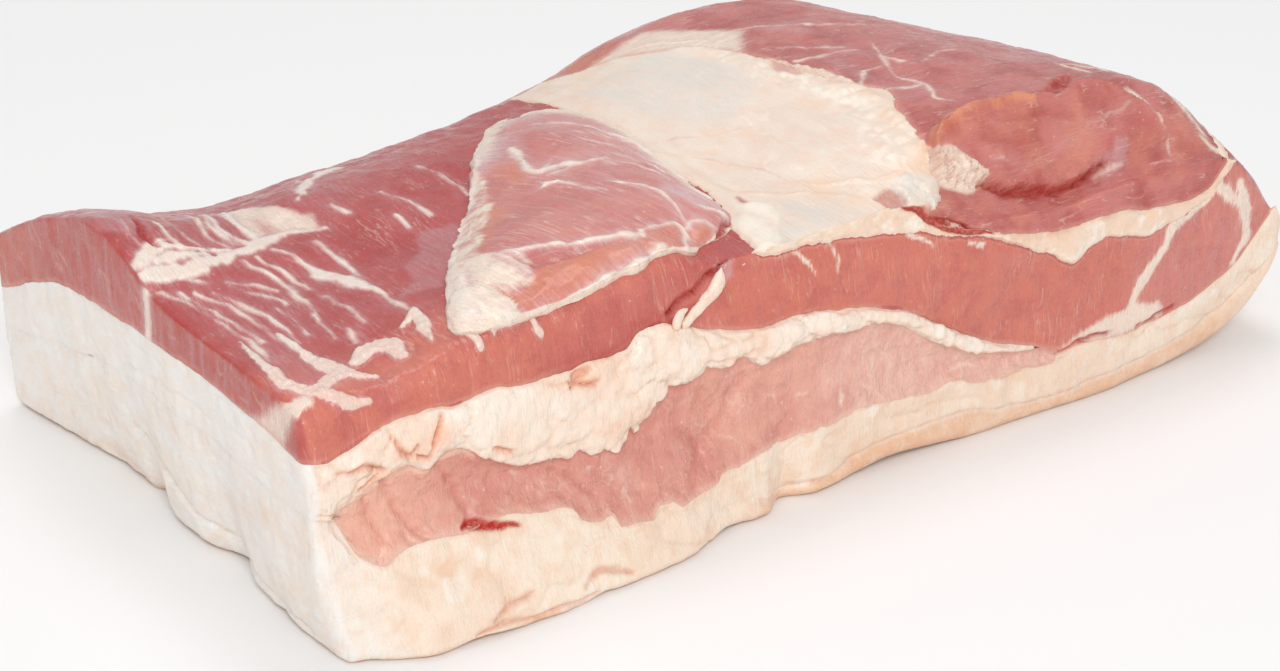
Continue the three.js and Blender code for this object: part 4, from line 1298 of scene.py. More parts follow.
FLAP_PINK = patches(TOP, (90, 84, 99, 80, 97, 67, 93, 66), (74, 56, 82, 60, 78, 50, 66, 38))
FLAP_LILAC = patches(TOP, (117, 36, 121, 40, 131, 30, 127, 26, 121, 27), (60, 26, 66, 26, 65, 17, 59, 19))
FLAP_CREVICE = lines(TOP, (127, 21, 0.4, 122, 17, 0.6, 114, 11, 0.5, 106, 8.6, 0.4))
LENS_LOBES = lines(FRONT, (15, 42, 0.2, 18, 35, 0.4, 22, 28, 0.4, 25, 24, 0.1), (28, 42, 0.2, 34, 34, 0.3,
    37, 27, 0.5, 36, 24, 0.3), (19, 27.5, 0.3, 20, 24.5, 0.4), (11, 37, 0.1, 12, 31, 0.3, 14, 27, 0.1),
    (60, 31, 0.1, 66, 27, 0.3, 70, 22, 0.1), (97, 30, 0.1, 103, 24, 0.3, 104, 19, 0.1))
LENS_DENTS = lines(FRONT, (118, 37, 0.2, 114, 34, 0.7, 109, 28, 1, 102.5, 23, 1, 100, 19, 0.7, 98.5, 15.5,
    0.2), (104, 37, 0.2, 107, 33, 0.5, 106, 30, 0.2))
LENS_VEINS = lines(FRONT, (122, 32.6, 0.2, 127, 31, 0.5, 128, 27, 0.4, 130, 28, 0.1), (148.5, 27, 0.3,
    149, 24.5, 0.5, 147.5, 22, 0.3), (135, 28.6, 0.2, 138, 28, 0.4), (154, 27, 0.2, 159, 25, 0.5, 162, 21,
    0.2), (172, 28, 0.1, 172, 25, 0.4, 170, 22, 0.1), (186, 21.4, 0.2, 190, 22.4, 0.6, 195, 20.4, 0.2),
    (190, 22, 0.4, 189, 18, 0.2), (108, 25, 0.1, 114, 23, 0.3, 117, 20, 0.2))


def end_skin(c: Canvas) -> Array:
    """Relief of all fat on the sawn end: soft upright folds, a faint seam, a skin's edge."""
    soft = 0.55 * c.skin.rough(c.points * (1, 1, 0.45), 11) + 0.12 * c.skin.rough(c.points, 2.6)
    skin_top = np.interp(c.y, (0, 37, 63, 76, 99), (2, 5, 9, 14.5, 21))
    below = c.end * fall(c.z - skin_top, -1, 0.5) * fall(c.y, 96, 102)
    broken = ease(c.skin.smooth(c.points, 9), -0.4, 0.3)
    pits = 0.25 * ease(c.skin.smooth(c.points, 2.2), 0.35, 0.7)
    return (soft - pits - 0.45 * c.inside(END_SEAM, 0.9) * broken - 0.8 * c.inside(SKIN_SEAM, 1)
            + 0.5 * below * ease(c.z, 0, 4))


class BackFat(Layer):
    """The rind and the back fat that it carries."""

    RIND = Curve(RIND_LINE)
    shares_end = is_slit = True

    def edge_share(self, x: Array, y: Array) -> Pair:
        """The top edge is rounded only where lean lies on it."""
        lean = self.slab.lower(x, y) - self.slab.back(x, y)
        return np.ones_like(x), ease(lean, 0.2, 1.5) + ease(x, 215.0, 230.0)

    def border(self, c: Canvas) -> Array:
        """Millimetres under the top; the rind's foot is free."""
        return c.at(self.high) - c.z

    def paint(self, c: Canvas) -> tuple[Array, Shade]:
        """Soft puffs, the rind's peach roll under a groove, sawn-end folds in painted cool shade."""
        below = self.RIND(c.x) - c.z
        rind = ease(below, -0.4, 1) * ease(c.x, 108, 128) * (1 - c.end)
        puffs, crease = c.noise.puffs(c.points * (0.8, 1, 1), 9)
        grains = 0.8 * c.noise.pebbles(c.points, 2.8) * fading(self.border(c), 4) * c.front
        grains *= span(c.x, 52, 62, 130, 160)
        groove = np.exp(-(below ** 2)) * ease(c.x, 108, 128) * c.front
        wall = 0.6 * c.noise.rough(c.points, 11) + 0.6 * puffs - 0.2 * crease + grains - 0.5
        calm = wall * (1 - 0.85 * rind) + 0.5 * rind - 0.7 * groove
        relief = (calm * (1 - c.end) + end_skin(c) * c.end
                  - c.laid((1.1, FAT_CREASES, 1), (0.4, TAN_STREAK, 1)))
        warm = (0.85 * rind * c.front * (1 - 0.6 * ease(c.x, 270, 300))
                + (0.35 * c.patches(13, 0.1, 0.9) + 0.2 * crease) * (1 - c.end)
                + 0.65 * c.end * fall(c.z, 1, 10) * (0.5 + c.patches(6, -0.2, 0.7))
                + 0.8 * ease(-c.normals[:, 2], 0.3, 0.8)
                + c.laid((0.6, FAT_CREASES, 1.6), (0.35, FAT_SLIT, 2), (0.8, TAN_STREAK, 0.8),
                         (0.6, END_PEACH, 2.5)))
        line = np.where(c.x > 118, np.abs(below + 0.7) - 0.15, 6) + 6 * (1 - c.front)
        # The sawn end is cooled to grey white as painted shade; the long side is cooled over its first 18
        # mm.
        film_and_shade = 0.9 * c.end + 0.5 * c.front * fall(c.x, 3, 18)
        deep = c.laid((1.5, FAT_SLIT, 0.7), (0.5, END_SPECKS, 0.4), (0.8, END_SLIT, 0.5),
                      (0.25, FAT_CREASES, 0.7))
        rim = np.where(c.end > 0.4, 6, self.border(c))
        return relief, Shade(line, warm, film_and_shade, 0.5 * c.patches(9, 0.2, 0.9) * (1 - rind), deep,
                             rim, c.points * (0.5, 0.6, 0.35))


class LowerLean(Layer):
    """The pale lean lens low in the long side; its grid starts along its blunt end."""

    LEFT = Curve((0, 1.5, 75, 7.5, 165, 10.5))
    RIGHT = 225
    ALONG = ((0, RIGHT, 0.6),)
    ACROSS = ((0, WIDTH, 1.2),)
    is_slit = True

    def paint(self, c: Canvas) -> tuple[Array, Shade]:
        """Bundles of fibre cut across, soft dents, pale veins, peach lobes at the blunt end."""
        relief = (0.55 * c.noise.pebbles(c.points, 5.5) + 0.3 * c.noise.rough(c.points, 2.4)
                  + 0.2 * c.noise.pebbles(c.points, 1.9) + 0.5 * c.noise.smooth(c.points, 14)
                  - c.laid((1.4, LENS_DENTS, 3.5), (1.1, LENS_LOBES, 1.6)) - 0.4)
        # Painted shade: deep red fading down under the seam fat's overhanging lip and its right end.
        shade_under_lip = fading(c.at(self.high) - c.z, 1) * c.front
        lip, left = span(c.x, 36, 50, 90, 120), fall(c.x, 14, 40)
        warm = 0.8 * left + 0.3 * c.patches(9, 0, 0.8) * ease(c.x, 60, 90)
        deep = (shade_under_lip * (0.22 * lip + 0.35 * ease(c.x, 182, 200))
                + c.laid((0.18, LENS_LOBES, 0.9), (0.2, LENS_DENTS, 1), (1.5, FAT_SLIT, 0.7)))
        film_and_shade = (0.35 * c.patches(7, 0.1, 0.9) * (1 - span(c.x, 96, 106, 124, 140))
                + 0.75 * ease(c.x, 128, 160))
        rim = self.border(c) + 1.5 * lip * (c.z - c.at(self.low) > 4) - 0.8 * left
        return relief, Shade(c.distance(LENS_VEINS) + 0.2, warm, film_and_shade,
                             0.3 * c.patches(5, 0.5, 1), deep, rim,
                             c.points * (0.6, 0.6, 0.45))


class SeamFat(Layer):
    """The seam of white fat between the two leans."""

    ALONG = ((0, 229, 0.6),)
    ACROSS = ((0, WIDTH, 1.1),)
    shares_end = True

    def edge_share(self, x: Array, y: Array) -> Pair:
        """The lower edge is rounded only where it hangs over the lean on the long side."""
        return span(x, 34.0, 48.0, 84.0, 108.0) * fall(y, 2.0, 8.0), np.ones_like(x)

    def paint(self, c: Canvas) -> tuple[Array, Shade]:
        """Puffed fat with orange crevices, and a knobby lip over the lean below it."""
        puffs, crease = c.noise.puffs(c.points * (0.75, 1, 1), 8)
        knobs, strip = c.noise.pebbles(c.points, 4.2), ease(c.x, 108, 125)
        lip = span(c.x, 34, 44, 112, 124) * fading(c.z - c.at(self.low), 3) * c.front
        slanted = np.stack([c.x - 0.9 * c.z, c.y, 0.5 * c.z + 0.2 * c.x], 1)
        fat = (1.1 * puffs - 0.4 * crease + 0.35 * c.noise.rough(slanted, 3.5)
               + (0.5 + 0.2 * strip) * knobs + lip * (1.2 + 0.8 * knobs) - 0.6
               + 0.25 * c.noise.pebbles(c.points, 1.8)
               + 0.5 * strip * c.noise.pebbles(slanted, 5))
        relief = fat * (1 - c.end) + end_skin(c) * c.end - 1.3 * c.inside(SEAM_CREVICES, 0.7)
        warm = (0.45 * c.patches(9, 0.1, 0.9) + 0.3 * crease
                + c.laid((0.5, SEAM_WARM, 4), (0.5, SEAM_CREVICES, 1.6))) * (1 - c.end)
        # The third field cools the sawn end to grey white as painted shade.
        return relief, Shade(c.flat + 6, warm + 0.6 * c.inside(END_PEACH, 2.5), 0.9 * c.end,
                             0.5 * c.patches(8, 0.2, 0.9), 0.6 * c.inside(SEAM_CREVICES, 0.5),
                             np.where(c.end > 0.4, 6, self.border(c) + 3 * lip),
                             c.points * (0.5, 0.6, 0.35))


class UpperLean(Layer):
    """The upper lean, open on top at the sawn end, where white sinews cross it."""

    ALONG = ((0, 62, 0.6), (62, 140, 0.8), (140, LENGTH, 1))
    ACROSS = ((0, 130, 0.82), (130, WIDTH, 1.4))
    is_slit = True

    def high(self, x: Array, y: Array) -> Array:
        """The crown, or the cap's underside where that is lower."""
        return np.minimum(self.roof(x, y), self.slab.upper(x, y))

    def edge_share(self, x: Array, y: Array) -> Pair:
        """The top edge is crisp on the sawn end and soft along the long side."""
        bare = ease(self.slab.upper(x, y) - self.slab.crown(x, y), 0, 9)
        return np.ones_like(x), (1.0 - 0.7 * ease(y, 6.0, 16.0)) * bare

    def border(self, c: Canvas) -> Array:
        """Millimetres over the seam, and under the cap where that covers the lean."""
        over, upper = c.z - c.at(self.low), c.at(self.slab.upper)
        covered = upper < c.at(self.slab.crown) - 0.2
        return np.where(covered, np.minimum(over, upper - c.z), over)

    def paint(self, c: Canvas) -> tuple[Array, Shade]:
        """Soft muscle with proud white sinews and scraps, orange near the cut corner."""
        bare = c.up * fall(c.x, 135, 150) + c.front
        sinews, threads = c.distance(TOP_SINEWS + END_GAPS), c.strands(1.7)
        loose = c.distance(TOP_SCRAPS + FLAP_TONGUE + FLAP_TAG)
        scraps = ease(-loose, -0.3, 0.9) * (0.7 + 0.6 * c.noise.pebbles(c.points, 2.6))
        bundles = 0.35 * c.noise.smooth(c.grain() * (1, 0.12, 0.3), 5) * c.front
        soft = 0.5 * c.noise.rough(c.points, 13) + 0.16 * c.strands(2) * bare
        speck = 0.12 * c.noise.rough(c.points, 1.8) * (bare + c.end)
        sawn = 0.3 * c.end * ease(c.noise.smooth(c.points * (0.3, 1, 0.1), 3.5), 0.3, 0.8)
        proud = 0.45 * ease(-sinews - 0.8 * threads, -0.4, 1.2)
        relief = (soft + speck + bundles + proud + scraps + 0.3 * c.bulge(TOP_FILMS[:1], 0.8)
                  + 0.4 * c.bulge(Y_SEAM, 0.8) - sawn
                  - c.laid((1.3, TOP_SLITS, 0.9), (1.4, GAP_CREVICE, 0.9), (0.2, GAP_GREY, 1)))
        above_seam = fading(c.z - c.at(self.low), 1.6)
        corner = fall(c.y, 8, 36) * fall(c.x, 88, 125)
        side = clip01(1 - c.up - c.end) * (0.75 - 0.3 * span(c.x, 60, 76, 96, 112))
        warm = 0.75 * corner * c.up + side + c.end * (0.45 * ease(c.y, 128, 150) + 0.4)
        line = np.minimum(sinews + 0.9 * threads,
                          np.where(loose > 0, 4 * loose + 1, 3 * loose))
        wedge = c.laid((0.8, END_WEDGE, 4.5), (1, WEDGE_TOP, 2.5), (0.6, END_GAPS, 2.4),
                       (0.85, PALE_WEDGE, 2.5))
        pale = (0.95 * wedge + c.inside(FAR_SINEW, 3.0) * (0.85 + 0.4 * c.strands(2.5))
                + c.laid((1.1, Y_SEAM, 1.8), (0.3, Y_SEAM, 6)) * c.front
                + 0.8 * c.inside(LEAN_VEINS, 0.9))
        sawn = ease(-c.skin.smooth(c.points * (0.3, 1, 0.06), 1.8), 0.3, 0.6)
        film_and_shade = (c.laid((0.75, TOP_FILMS, 1.5), (0.1, PEARLY, 5), (0.28, SOFT_FILMS, 6),
                       (0.7, GAP_GREY, 1))
                + 0.08 * c.patches(16, 0.1, 0.9) * c.up
                + 0.2 * c.front * ease(c.x, 240, 262) + 0.3 * c.end * sawn)
        open_top = c.up * fall(c.x, 130, 150) * (1 - corner)
        deep = (c.laid((0.9, TOP_SLITS, 0.7), (0.9, END_SLIT, 0.5), (0.8, GAP_CREVICE, 0.6))
                + 0.8 * above_seam * c.front * span(c.x, 52, 70, 96, 106)
                + (0.34 * c.end + 0.48 * open_top) * ease(line, -0.6, 0.8) * (1 - clip01(pale)))
        open_rim = np.where(c.up > 0.5, 6, self.border(c) - 0.5 * c.end)
        return relief, Shade(line, warm, film_and_shade, pale, deep, open_rim, c.grain())


class CapFat(Layer):
    """The membrane over the middle of the top, and the fat seam under the round muscle."""

    LEFT = Curve((0, 119, 5, 119, 20, 122, 60, 132, 95, 134, 120, 134, 137, 133, 165, 136))
    ALONG = ((0, 104, 0.7), (104, 200, 1.1))
    ACROSS = ((0, WIDTH, 0.75),)

    def low(self, x: Array, y: Array) -> Array:
        """The upper lean's top; past the border a thin skirt sinks under the lean."""
        return np.minimum(self.floor(x, y), self.high(x, y) - 0.3)

    def high(self, x: Array, y: Array) -> Array:
        """The crown, or the round muscle's underside; past the border it dives under the lean."""
        crown = self.roof(x, y)
        past = self.slab.upper(x, y) - crown
        sunk = 0.5 * np.clip(past, 0, 6) + 1.3 * ease(past, 0.2, 1.4)
        return np.minimum(crown, self.slab.cap(x, y)) - sunk

    def border(self, c: Canvas) -> Array:
        """Millimetres over the lean, and under the muscle where that covers the cap."""
        over, cap = c.z - c.at(self.slab.upper), c.at(self.slab.cap)
        return np.where(cap < c.at(self.slab.crown) - 0.2, np.minimum(over, cap - c.z), over)

    def paint(self, c: Canvas) -> tuple[Array, Shade]:
        """A smooth skin with soft folds, red vessels, warm fat at its borders and in its seam."""
        drawn = np.stack([c.x, 0.35 * c.y, c.z], 1)
        folds = 0.5 * c.noise.rough(drawn, 8) + 0.25 * c.noise.smooth(c.points, 16)
        (puffs, crease), knobs = c.noise.puffs(c.points, 7), c.noise.pebbles(c.points, 3.6)
        fatty = fall(c.distance(CAP_LUMPS + BORDER_FAT), -2, 4) * c.up
        wall = c.front * (0.9 * puffs + 0.8 * c.noise.pebbles(c.points, 2.4) * knobs)
        buried = ease(c.at(self.slab.upper) - c.at(self.slab.crown), 0.3, 1.5)
        skin = (folds * c.up + fatty * (0.9 * puffs + 0.35 * knobs) + wall
                + 0.7 * c.bulge(CAP_BRIGHT, 1.5) + 0.5 * c.bulge(CAP_FOLDS, 0.8)
                - c.laid((1.2, CAP_WEDGE, 1), (1.2, ROUND_EDGE_SLIT, 0.8))
                + 0.7 * c.inside(GREY_SKIN, 1) * knobs)
        lumps = c.inside(CAP_LUMPS, 4)
        under_muscle = fading(c.at(self.slab.cap) - c.z, 1.2) * c.front
        warm = (0.4 * c.patches(9, 0.1, 0.9) + 0.4 * lumps * crease
                + 0.4 * c.inside(CAP_FOLDS, 2) + 0.6 * under_muscle
                + 0.4 * c.front * (1 + c.patches(2.5, -0.1, 0.8))
                + c.inside(BORDER_FAT, 5) * (0.25 + 0.45 * crease))
        film_and_shade = 0.8 * c.inside(CAP_COOL, 7) * (1 - lumps) + 0.9 * c.inside(GREY_SKIN, 1)
        pale = (0.7 * lumps * c.patches(5, -0.3, 0.6) + 0.8 * c.inside(CAP_BRIGHT, 2)
                + 0.6 * c.front * c.patches(3.5, 0, 0.6))
        deep = 0.25 * under_muscle * c.patches(6, -0.2, 0.7) + c.laid(
            (0.6, CAP_WEDGE, 0.8), (1.2, ROUND_EDGE_SLIT, 0.8), (0.5, CAP_PINK, 1.5),
            (0.8, RED_SPOT, 1))
        left = 0.5 * (c.at(self.slab.crown) - c.at(self.slab.upper))
        rim = np.where(c.up > 0.5, np.where(c.x < 175, left, 6), self.border(c) - 0.2)
        return skin * (1 - buried) - 0.4 * buried, Shade(
            c.distance(CAP_VEINS) + 0.1, warm, film_and_shade, pale, deep, rim,
            c.points * (0.6, 0.5, 0.6))


class RoundLean(Layer):
    """The round muscle on the thick end, with a fold of muscle lying on its near slope."""

    LEFT = Curve((0, 165, 4, 165, 25, 185, 40, 189, 50, 194, 60, 189, 95, 182, 120, 164, 137, 146,
                  165, 141))
    ALONG = ((0, 110, 0.66), (110, 150, 0.9))
    ACROSS = ((0, 46, 0.5), (46, WIDTH, 0.95))

    def low(self, x: Array, y: Array) -> Array:
        """The cap's top; past the border a thin skirt sinks under the membrane."""
        return np.minimum(self.floor(x, y), self.high(x, y) - 0.3)

    def high(self, x: Array, y: Array) -> Array:
        """The crown; past the border it dives under the membrane."""
        crown = self.roof(x, y)
        return crown - 0.5 * np.clip(self.slab.cap(x, y) - crown, 0, 6)

    def border(self, c: Canvas) -> Array:
        """Millimetres over the cap."""
        return c.z - c.at(self.floor)

    def paint(self, c: Canvas) -> tuple[Array, Shade]:
        """Soft fibre, pale lines; the fold's orange rim, red creases and painted shade; fat under it."""
        soft = (0.5 * c.noise.rough(c.points, 15) + 0.1 * c.noise.rough(c.points, 1.8)
                + 0.14 * c.noise.smooth(c.points * (0.2, 1, 1), 2))
        fold = 2.3 * c.bulge(FOLD, 0.9) + c.inside(FOLD_RIM, 1.4) - 0.8 * c.bulge(FOLD, 7)
        knobs, crumbs = c.noise.pebbles(c.points, 3.4), c.noise.pebbles(c.points, 2.6)
        border_fat = c.distance(BORDER_FAT)
        lumps = (c.bulge(FOLD_FAT, 1.2) * (0.4 + 2.4 * crumbs)
                 + fall(border_fat, -0.8, 1) * (0.4 + knobs)
                 + 0.6 * c.inside(GREY_SKIN, 1) * knobs)
        cuts = c.laid((1.4, FOLD_FOOT, 0.8), (1.7, FOLD_TOP_CREVICE, 1.2),
                      (1.5, ROUND_EDGE_SLIT, 0.9), (0.5, FOLD_CREASES, 1.2))
        relief = (soft + fold + lumps - cuts + 0.6 * c.bulge(FOLD_SCRAPS, 0.6)
                  + 0.2 * c.bulge(ROUND_SINEWS, 0.5))
        line = np.min([
            c.distance(ROUND_SINEWS) + 0.5 * c.strands(2), c.distance(FOLD_SCRAPS) + 0.4,
            2 * c.distance(FOLD_FAT) - 0.4, c.distance(ROUND_END_FAT),
            border_fat + 1.2 * c.strands(1.7), c.distance(TAN_LINE) + 0.3], axis=0)
        near, fat = fall(c.y, 20, 44), c.inside(FOLD_FAT, 1)
        rim_share = c.laid((0.25, FOLD_WARM, 3), (0.75, FOLD_RIM, 1.4))
        warm = (rim_share * (0.5 + c.patches(4, -0.4, 0.5))
                + c.laid((0.15, FOLD, 2), (0.3, BORDER_FAT, 2.5))
                # Peach in the hollows of the fold's fat: partly its own colour, partly painted shade.
                + 0.5 * fat * fall(crumbs, 0.2, 0.6)
                + 0.35 * near * c.patches(10, -0.1, 0.8)
                + 0.6 * ease(c.y, 118, 134) * fall(c.x, 158, 176))
        film_and_shade = (c.laid((0.8, GREY_SKIN, 1.5), (0.6, FOLD_FILM, 1.2))
                + 0.5 * c.patches(15, 0.1, 0.9) * (1 - near))
        pale = c.laid((0.3, ROUND_END_FAT, 2.5), (0.75, PALE_CORNER, 6))
        # The fold's foot: a thin dark red line, and a wide band of painted shadow under its overhang.
        deep = (c.laid((1.2, ROUND_EDGE_SLIT, 0.8), (0.7, FOLD_FOOT, 0.6),
                       (0.4, FOLD_TOP_CREVICE, 1.2), (0.2, FOLD_CREASES, 0.8),
                       (0.9, RED_NOOK, 1.5), (0.15, FOLD_FOOT, 2.5))
                + 0.35 * near * c.patches(7, 0.35, 1) * (1 - fat))
        left = 0.4 * (c.at(self.slab.crown) - c.at(self.slab.cap))
        rim = np.where(c.up > 0.45, np.where(c.x < 215, left, 6), self.border(c))
        return relief, Shade(line, warm, film_and_shade, pale, deep, rim,
                             np.stack([c.y + 0.6 * c.z, c.x, c.z], 1))


# -------- the flap and the small folds


@dataclass
class Flap:
    """The loose flap of muscle that lies on the slab: a low dome over its outline."""

    slab: Slab
    around: int = 460
    out: int = 90
    skirt: int = 4
    sunk: float = 1.2
    seed: int = 71

    def __post_init__(self) -> None:
        """Reads the outline as cubics from point to point, as angles and radii from the heart."""
        points = np.array(rows(FLAP_OUTLINE, 2), float)
        before, after, beyond = [np.roll(points, shift, 0) for shift in (1, -1, -2)]

        def knot(first: Array, second: Array) -> Array:
            """The square root of the distance between two points."""
            return np.sum((first - second) ** 2, axis=1, keepdims=True) ** 0.25

        d0, d1, d2 = knot(before, points), knot(points, after), knot(after, beyond)
        leave = ((points - before) / d0 - (after - before) / (d0 + d1) + (after - points) / d1) * d1
        arrive = ((after - points) / d1 - (beyond - points) / (d1 + d2)
                  + (beyond - after) / d2) * d1
        t = (np.arange(24) / 24)[:, None, None]
        path = (points + leave * t + (-3 * points + 3 * after - 2 * leave - arrive) * t ** 2
                + (2 * points - 2 * after + leave + arrive) * t ** 3)
        away_x, away_y = (path.reshape(-1, 2) - FLAP_HEART).T
        angle, radius = np.arctan2(away_y, away_x), np.hypot(away_x, away_y)
        order = np.argsort(angle)
        self.angles = np.concatenate([angle[order] + lap for lap in (-2 * np.pi, 0, 2 * np.pi)])
        self.radii = np.tile(radius[order], 3)

    def edge(self, turn: Array) -> Array:
        """Distance of the rim from the heart in a direction."""
        return np.interp(turn, self.angles, self.radii)

    def form(self) -> Surface:
        """The dome: rings from the heart to the rim, a skirt into the slab and a closed bottom.

        The height over the crown rises with the square root of 1 - out^roundness, where out is the
        share of the way to the rim. Towards the membrane the edge is thin and the slope gentle.

        Returns:
            The closed surface.
        """
        turn = np.linspace(-np.pi, np.pi, self.around, endpoint=False)
        edge = self.edge(turn)
        circle = np.stack([np.cos(turn), np.sin(turn)], 1)
        spot = np.column_stack([FLAP_HEART + circle * edge[:, None], np.zeros(self.around)])
        edge = edge + 0.9 * Noise(self.seed + 2).rough(spot, 6)
        near = 0.7 * ease(-np.sin(turn), 0.2, 0.7)
        blend = np.maximum(np.maximum(ease(np.cos(turn - 0.55), -0.15, 0.65), near), 0.3)
        lip = FLAP_EDGE_HEIGHT * (1 - 0.85 * blend)
        out = 1 - (1 - np.linspace(0, 1, self.out + 1)[1:]) ** 1.35
        top = out[::-1, None]
        dome = (1 - top ** FLAP_ROUNDNESS) ** (0.5 + 0.55 * blend)
        down = np.arange(1, self.skirt + 1)[::-1, None] / self.skirt
        lift = np.concatenate([np.full((2, self.around), -self.sunk),
                               lip - (lip + self.sunk) * down, lip + (FLAP_HEIGHT - lip) * dome])
        share = np.concatenate([[0.35, 0.7], 1 - 0.012 * down[:, 0] * self.skirt / 4, top[:, 0]])
        flat = FLAP_HEART + circle[None] * (edge[None, :] * share[:, None])[..., None]
        plan = np.concatenate([flat.reshape(-1, 2), [FLAP_HEART, FLAP_HEART]])
        lift = np.concatenate([lift.ravel(), [-self.sunk, FLAP_HEIGHT]])
        points = np.column_stack([plan, self.slab.crown(plan[:, 0], plan[:, 1]) + lift])
        index = np.arange(flat.size // 2).reshape(len(share), self.around)
        after = np.roll(index, -1, axis=1)
        under, over = np.full(self.around, index.size), np.full(self.around, index.size + 1)
        triangles = np.concatenate([np.stack([after[0], index[0], under], -1),
                                    np.stack([index[-1], after[-1], over], -1)])
        return Surface(points, band(index), triangles)

    def paint(self, c: Canvas) -> tuple[Array, Shade]:
        """Soft bundles with proud white lines, an orange block, lilac film, cream far edges."""
        fray = c.distance(FLAP_FAT) + 0.7 * c.strands(1.7)
        fat = 0.3 * c.noise.pebbles(c.points, 3.2) * c.inside(FLAP_RIM_FAT, 2)
        relief = (0.4 * c.noise.rough(c.points, 14) + 0.1 * c.noise.rough(c.points, 1.8)
                  + 0.3 * c.noise.rough(c.points * (1, 0.22, 1), 5, 2)
                  + 0.45 * ease(-fray, -0.4, 1.2) + fat + 0.7 * c.bulge(FLAP_BLOCK, 3)
                  + 0.9 * (c.bulge(FLAP_LOBES, 2.2) + c.bulge(FLAP_TONGUE, 0.9))
                  - c.laid((0.9, FLAP_STRIP, 0.9), (1.5, FLAP_CREVICE, 0.9)))
        away_x, away_y = (c.points[:, :2] - FLAP_HEART).T
        turn = np.arctan2(away_y, away_x)
        out = np.hypot(away_x, away_y) / self.edge(turn)
        fringe = ease(out, 0.97, 0.99) * ease(-c.y, -24, -14) + 0.8 * (1 - c.up) * (c.y < 20)
        merge = ease(out, 0.72, 0.99) * ease(np.cos(turn - 0.6), 0, 0.6)
        pale = (0.95 * (merge + fringe) + c.inside(FLAP_TONGUE, 0.8)
                + c.inside(FLAP_RIM_FAT, 2.5) * (0.45 + 0.5 * c.patches(5, -0.5, 0.5)))
        warm = c.laid((0.8, FLAP_BLOCK, 1.5), (0.7, FLAP_LOBES, 1), (0.7, FLAP_PINK, 3))
        film_and_shade = (0.75 * c.inside(FLAP_LILAC, 3) + 0.5 * ease(out, 0.6, 0.9)
                * ease(np.cos(turn - 0.9), 0.1, 0.7) + 0.25 * c.patches(14, 0.1, 0.9))
        return relief, Shade(fray, warm, film_and_shade, pale,
                             c.laid((0.75, FLAP_CREVICE, 0.7), (0.25, FLAP_STRIP, 0.8)),
                             c.flat + 6, np.stack([c.x + 0.3 * c.y, c.y, c.z], 1))

    def build(self) -> None:
        """Makes and dresses the flap."""
        c = Canvas(self.form(), self.seed)
        dress("flap_lean_dressed", c, *self.paint(c), FLAP_FINISH, "flap_lean", "flap_lean")


@dataclass
class Fold:
    """A small fold of fat: a round profile along a path of stops (x, y, z, radius)."""

    name: str
    path: Row
    around: int = 26
    steps: int = 70
    seed: int = 81

    def form(self) -> Surface:
        """Rings across the path, with rounded ends.

        Returns:
            The closed surface.
        """
        stops = np.array(rows(self.path, 4), float)
        walked = np.append(0, np.cumsum(np.linalg.norm(np.diff(stops[:, :3], axis=0), axis=1)))
        at = np.linspace(0, walked[-1], self.steps)
        line = np.stack([hermite(walked, stops[:, k], at) for k in range(4)], 1)
        along = np.gradient(line[:, :3], axis=0)
        along /= np.linalg.norm(along, axis=1, keepdims=True)
        side = np.cross(along, (0.3, -0.8, 0.5))
        side /= np.linalg.norm(side, axis=1, keepdims=True)
        lift = 0.8 * np.cross(side, along)
        ends = np.sqrt(clip01(1 - (np.abs(2 * at / at[-1] - 1)) ** 6))
        radius = np.maximum(line[:, 3] * ends, 0.05)[:, None, None]
        turn = np.linspace(0, 2 * np.pi, self.around, endpoint=False)[None, :, None]
        rings = (line[:, None, :3]
                 + radius * (np.cos(turn) * side[:, None] + np.sin(turn) * lift[:, None]))
        points = np.concatenate([rings.reshape(-1, 3), line[:1, :3], line[-1:, :3]])
        index = np.arange(self.steps * self.around).reshape(self.steps, self.around)
        after = np.roll(index, -1, axis=1)
        first = np.full(self.around, index.size)
        triangles = np.concatenate([np.stack([index[0], after[0], first], -1),
                                    np.stack([after[-1], index[-1], first + 1], -1)])
        return Surface(points, np.roll(band(index)[:, ::-1], 1, axis=1), triangles)

    def build(self) -> None:
        """Makes and dresses the fold."""
        c = Canvas(self.form(), self.seed)
        puffs, crease = c.noise.puffs(c.points, 5)
        relief = 0.35 * puffs - 0.1 + 0.12 * c.noise.rough(c.points, 2)
        shade = Shade(c.flat + 6, 0.25 + 0.5 * crease, c.flat, c.flat + 0.3, c.flat,
                      c.flat + 6, c.points)
        dress(self.name, c, relief, shade, SEAM_FINISH, "seam_fat", "seam_fat")


GAP_RIDGE = (112.6, 5, 68, 0.3, 111.6, 4.2, 66.2, 1.2, 110.4, 3.5, 64.4, 1.8, 108, 3, 62.4, 1.7, 105, 2.3,
    61, 1.3, 101.6, 1.2, 59.6, 1.2, 98, 0.4, 57.2, 1.7)
GAP_BRANCH = (100.2, 1.5, 61.4, 0.4, 98, 1.1, 60.8, 0.9, 96.4, 0.5, 59.2, 1, 96, 0.2, 57.2, 1.2)


# -------- the studio


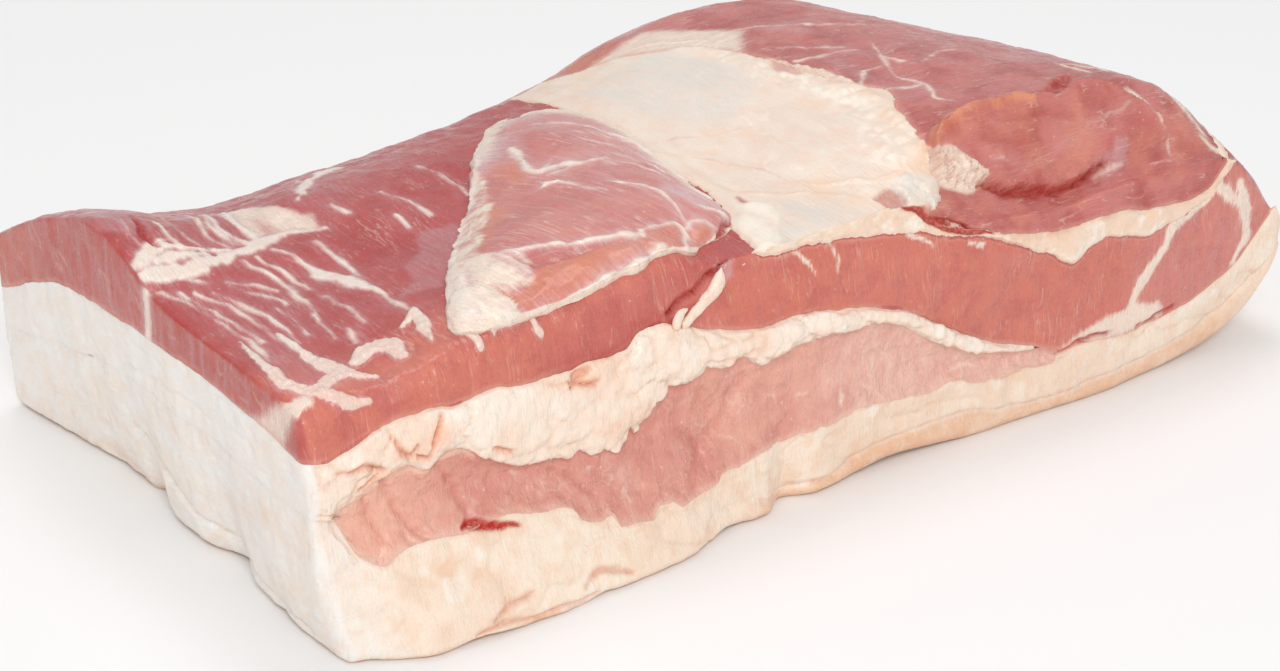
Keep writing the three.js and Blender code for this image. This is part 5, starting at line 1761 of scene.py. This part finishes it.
@dataclass
class Studio:
    """Pale floor, soft light and the camera."""

    focal: float = 67.5
    sensor: float = 36.0
    azimuth: float = -34.7
    elevation: float = 25.0
    distance: float = 0.630
    target: Row = (-0.03406, -0.02855, 0.0315)
    aim: Row = (0, 0, 0.03)
    floor_half: float = 6.0
    floor_drop: float = 0.0002
    sky_strength: float = 0.56

    def floor(self) -> None:
        """A wide pale sheet under the slab."""
        half = self.floor_half
        mesh = bpy.data.meshes.new("studio_floor")
        mesh.from_pydata([(-half, -half, 0), (half, -half, 0), (half, half, 0), (-half, half, 0)],
                         [], [(0, 1, 2, 3)])
        made = linked("studio_floor", mesh)
        made.location.z = -self.floor_drop
        mesh.materials.append(Graph("pale_floor").shader(
            {"Base Color": (0.93, 0.93, 0.93, 1), "Roughness": 0.9, "Specular IOR Level": 0.1}))

    def lamp(self, name: str, place: Row, size: float, power: float) -> None:
        """A square soft light that looks at the slab.

        Args:
            name: the light's name.
            place: where it hangs, in metres.
            size: its side.
            power: its watts.
        """
        data = bpy.data.lights.new(name, "AREA")
        data.shape, data.size, data.energy = "SQUARE", size, power
        made = linked(name, data)
        made.location = place
        made.rotation_euler = (Vector(self.aim) - Vector(place)).to_track_quat("-Z", "Y").to_euler()

    def camera(self) -> None:
        """Looks at the slab from the near left."""
        turn, rise = math.radians(self.azimuth), math.radians(self.elevation)
        back = Vector((math.sin(turn) * math.cos(rise), -math.cos(turn) * math.cos(rise),
                       math.sin(rise)))
        data = bpy.data.cameras.new("view")
        data.lens, data.sensor_width, data.clip_start = self.focal, self.sensor, 0.01
        made = linked("view", data)
        made.location = Vector(self.target) + back * self.distance
        made.rotation_euler = (-back).to_track_quat("-Z", "Y").to_euler()
        bpy.context.scene.camera = made

    def build(self) -> None:
        """Sets up the whole studio."""
        scene = bpy.context.scene
        scene.world = bpy.data.worlds.new("studio_air")
        scene.world.use_nodes = True
        sky = scene.world.node_tree.nodes["Background"]
        sky.inputs["Color"].default_value = (1, 1, 1, 1)
        sky.inputs["Strength"].default_value = self.sky_strength
        scene.view_settings.view_transform = "Standard"
        self.floor()
        self.lamp("key_light", (-0.75, -1.4, 1.3), 0.6, 17)
        self.lamp("top_light", (0.3, 0.5, 1.8), 0.8, 8)
        self.camera()


def main() -> None:
    """Builds every piece, then the studio."""
    logging.basicConfig(level=logging.INFO, format="%(name)s %(message)s")
    slab = Slab()
    layers = (
        BackFat(slab, "back_fat", "fat", 21, BACK_FINISH, slab.board, slab.back, 44,
                low_edge=3, low_rings=14),
        LowerLean(slab, "lower_lean", "pale_lean", 31, PALE_LEAN_FINISH, slab.back, slab.lower, 40),
        SeamFat(slab, "seam_fat", "seam_fat", 41, SEAM_FINISH, slab.lower, slab.seam, 36,
                low_edge=1.6),
        UpperLean(slab, "upper_lean", "lean", 51, LEAN_FINISH, slab.seam, slab.crown, 22,
                  high_edge=5, grid_top=True, low_rings=2),
        CapFat(slab, "cap_fat", "membrane", 61, CAP_FINISH, slab.upper, slab.crown, 14,
               grid_top=True, low_rings=3),
        RoundLean(slab, "round_lean", "round_lean", 91, ROUND_FINISH, slab.cap, slab.crown, 30,
                  high_edge=0.1, grid_top=True, low_rings=3),
    )
    for layer in layers:
        layer.build()
    Flap(slab).build()
    Fold("gap_ridge", GAP_RIDGE).build()
    Fold("gap_branch", GAP_BRANCH, steps=30).build()
    Studio().build()


if __name__ == "__main__":
    main()
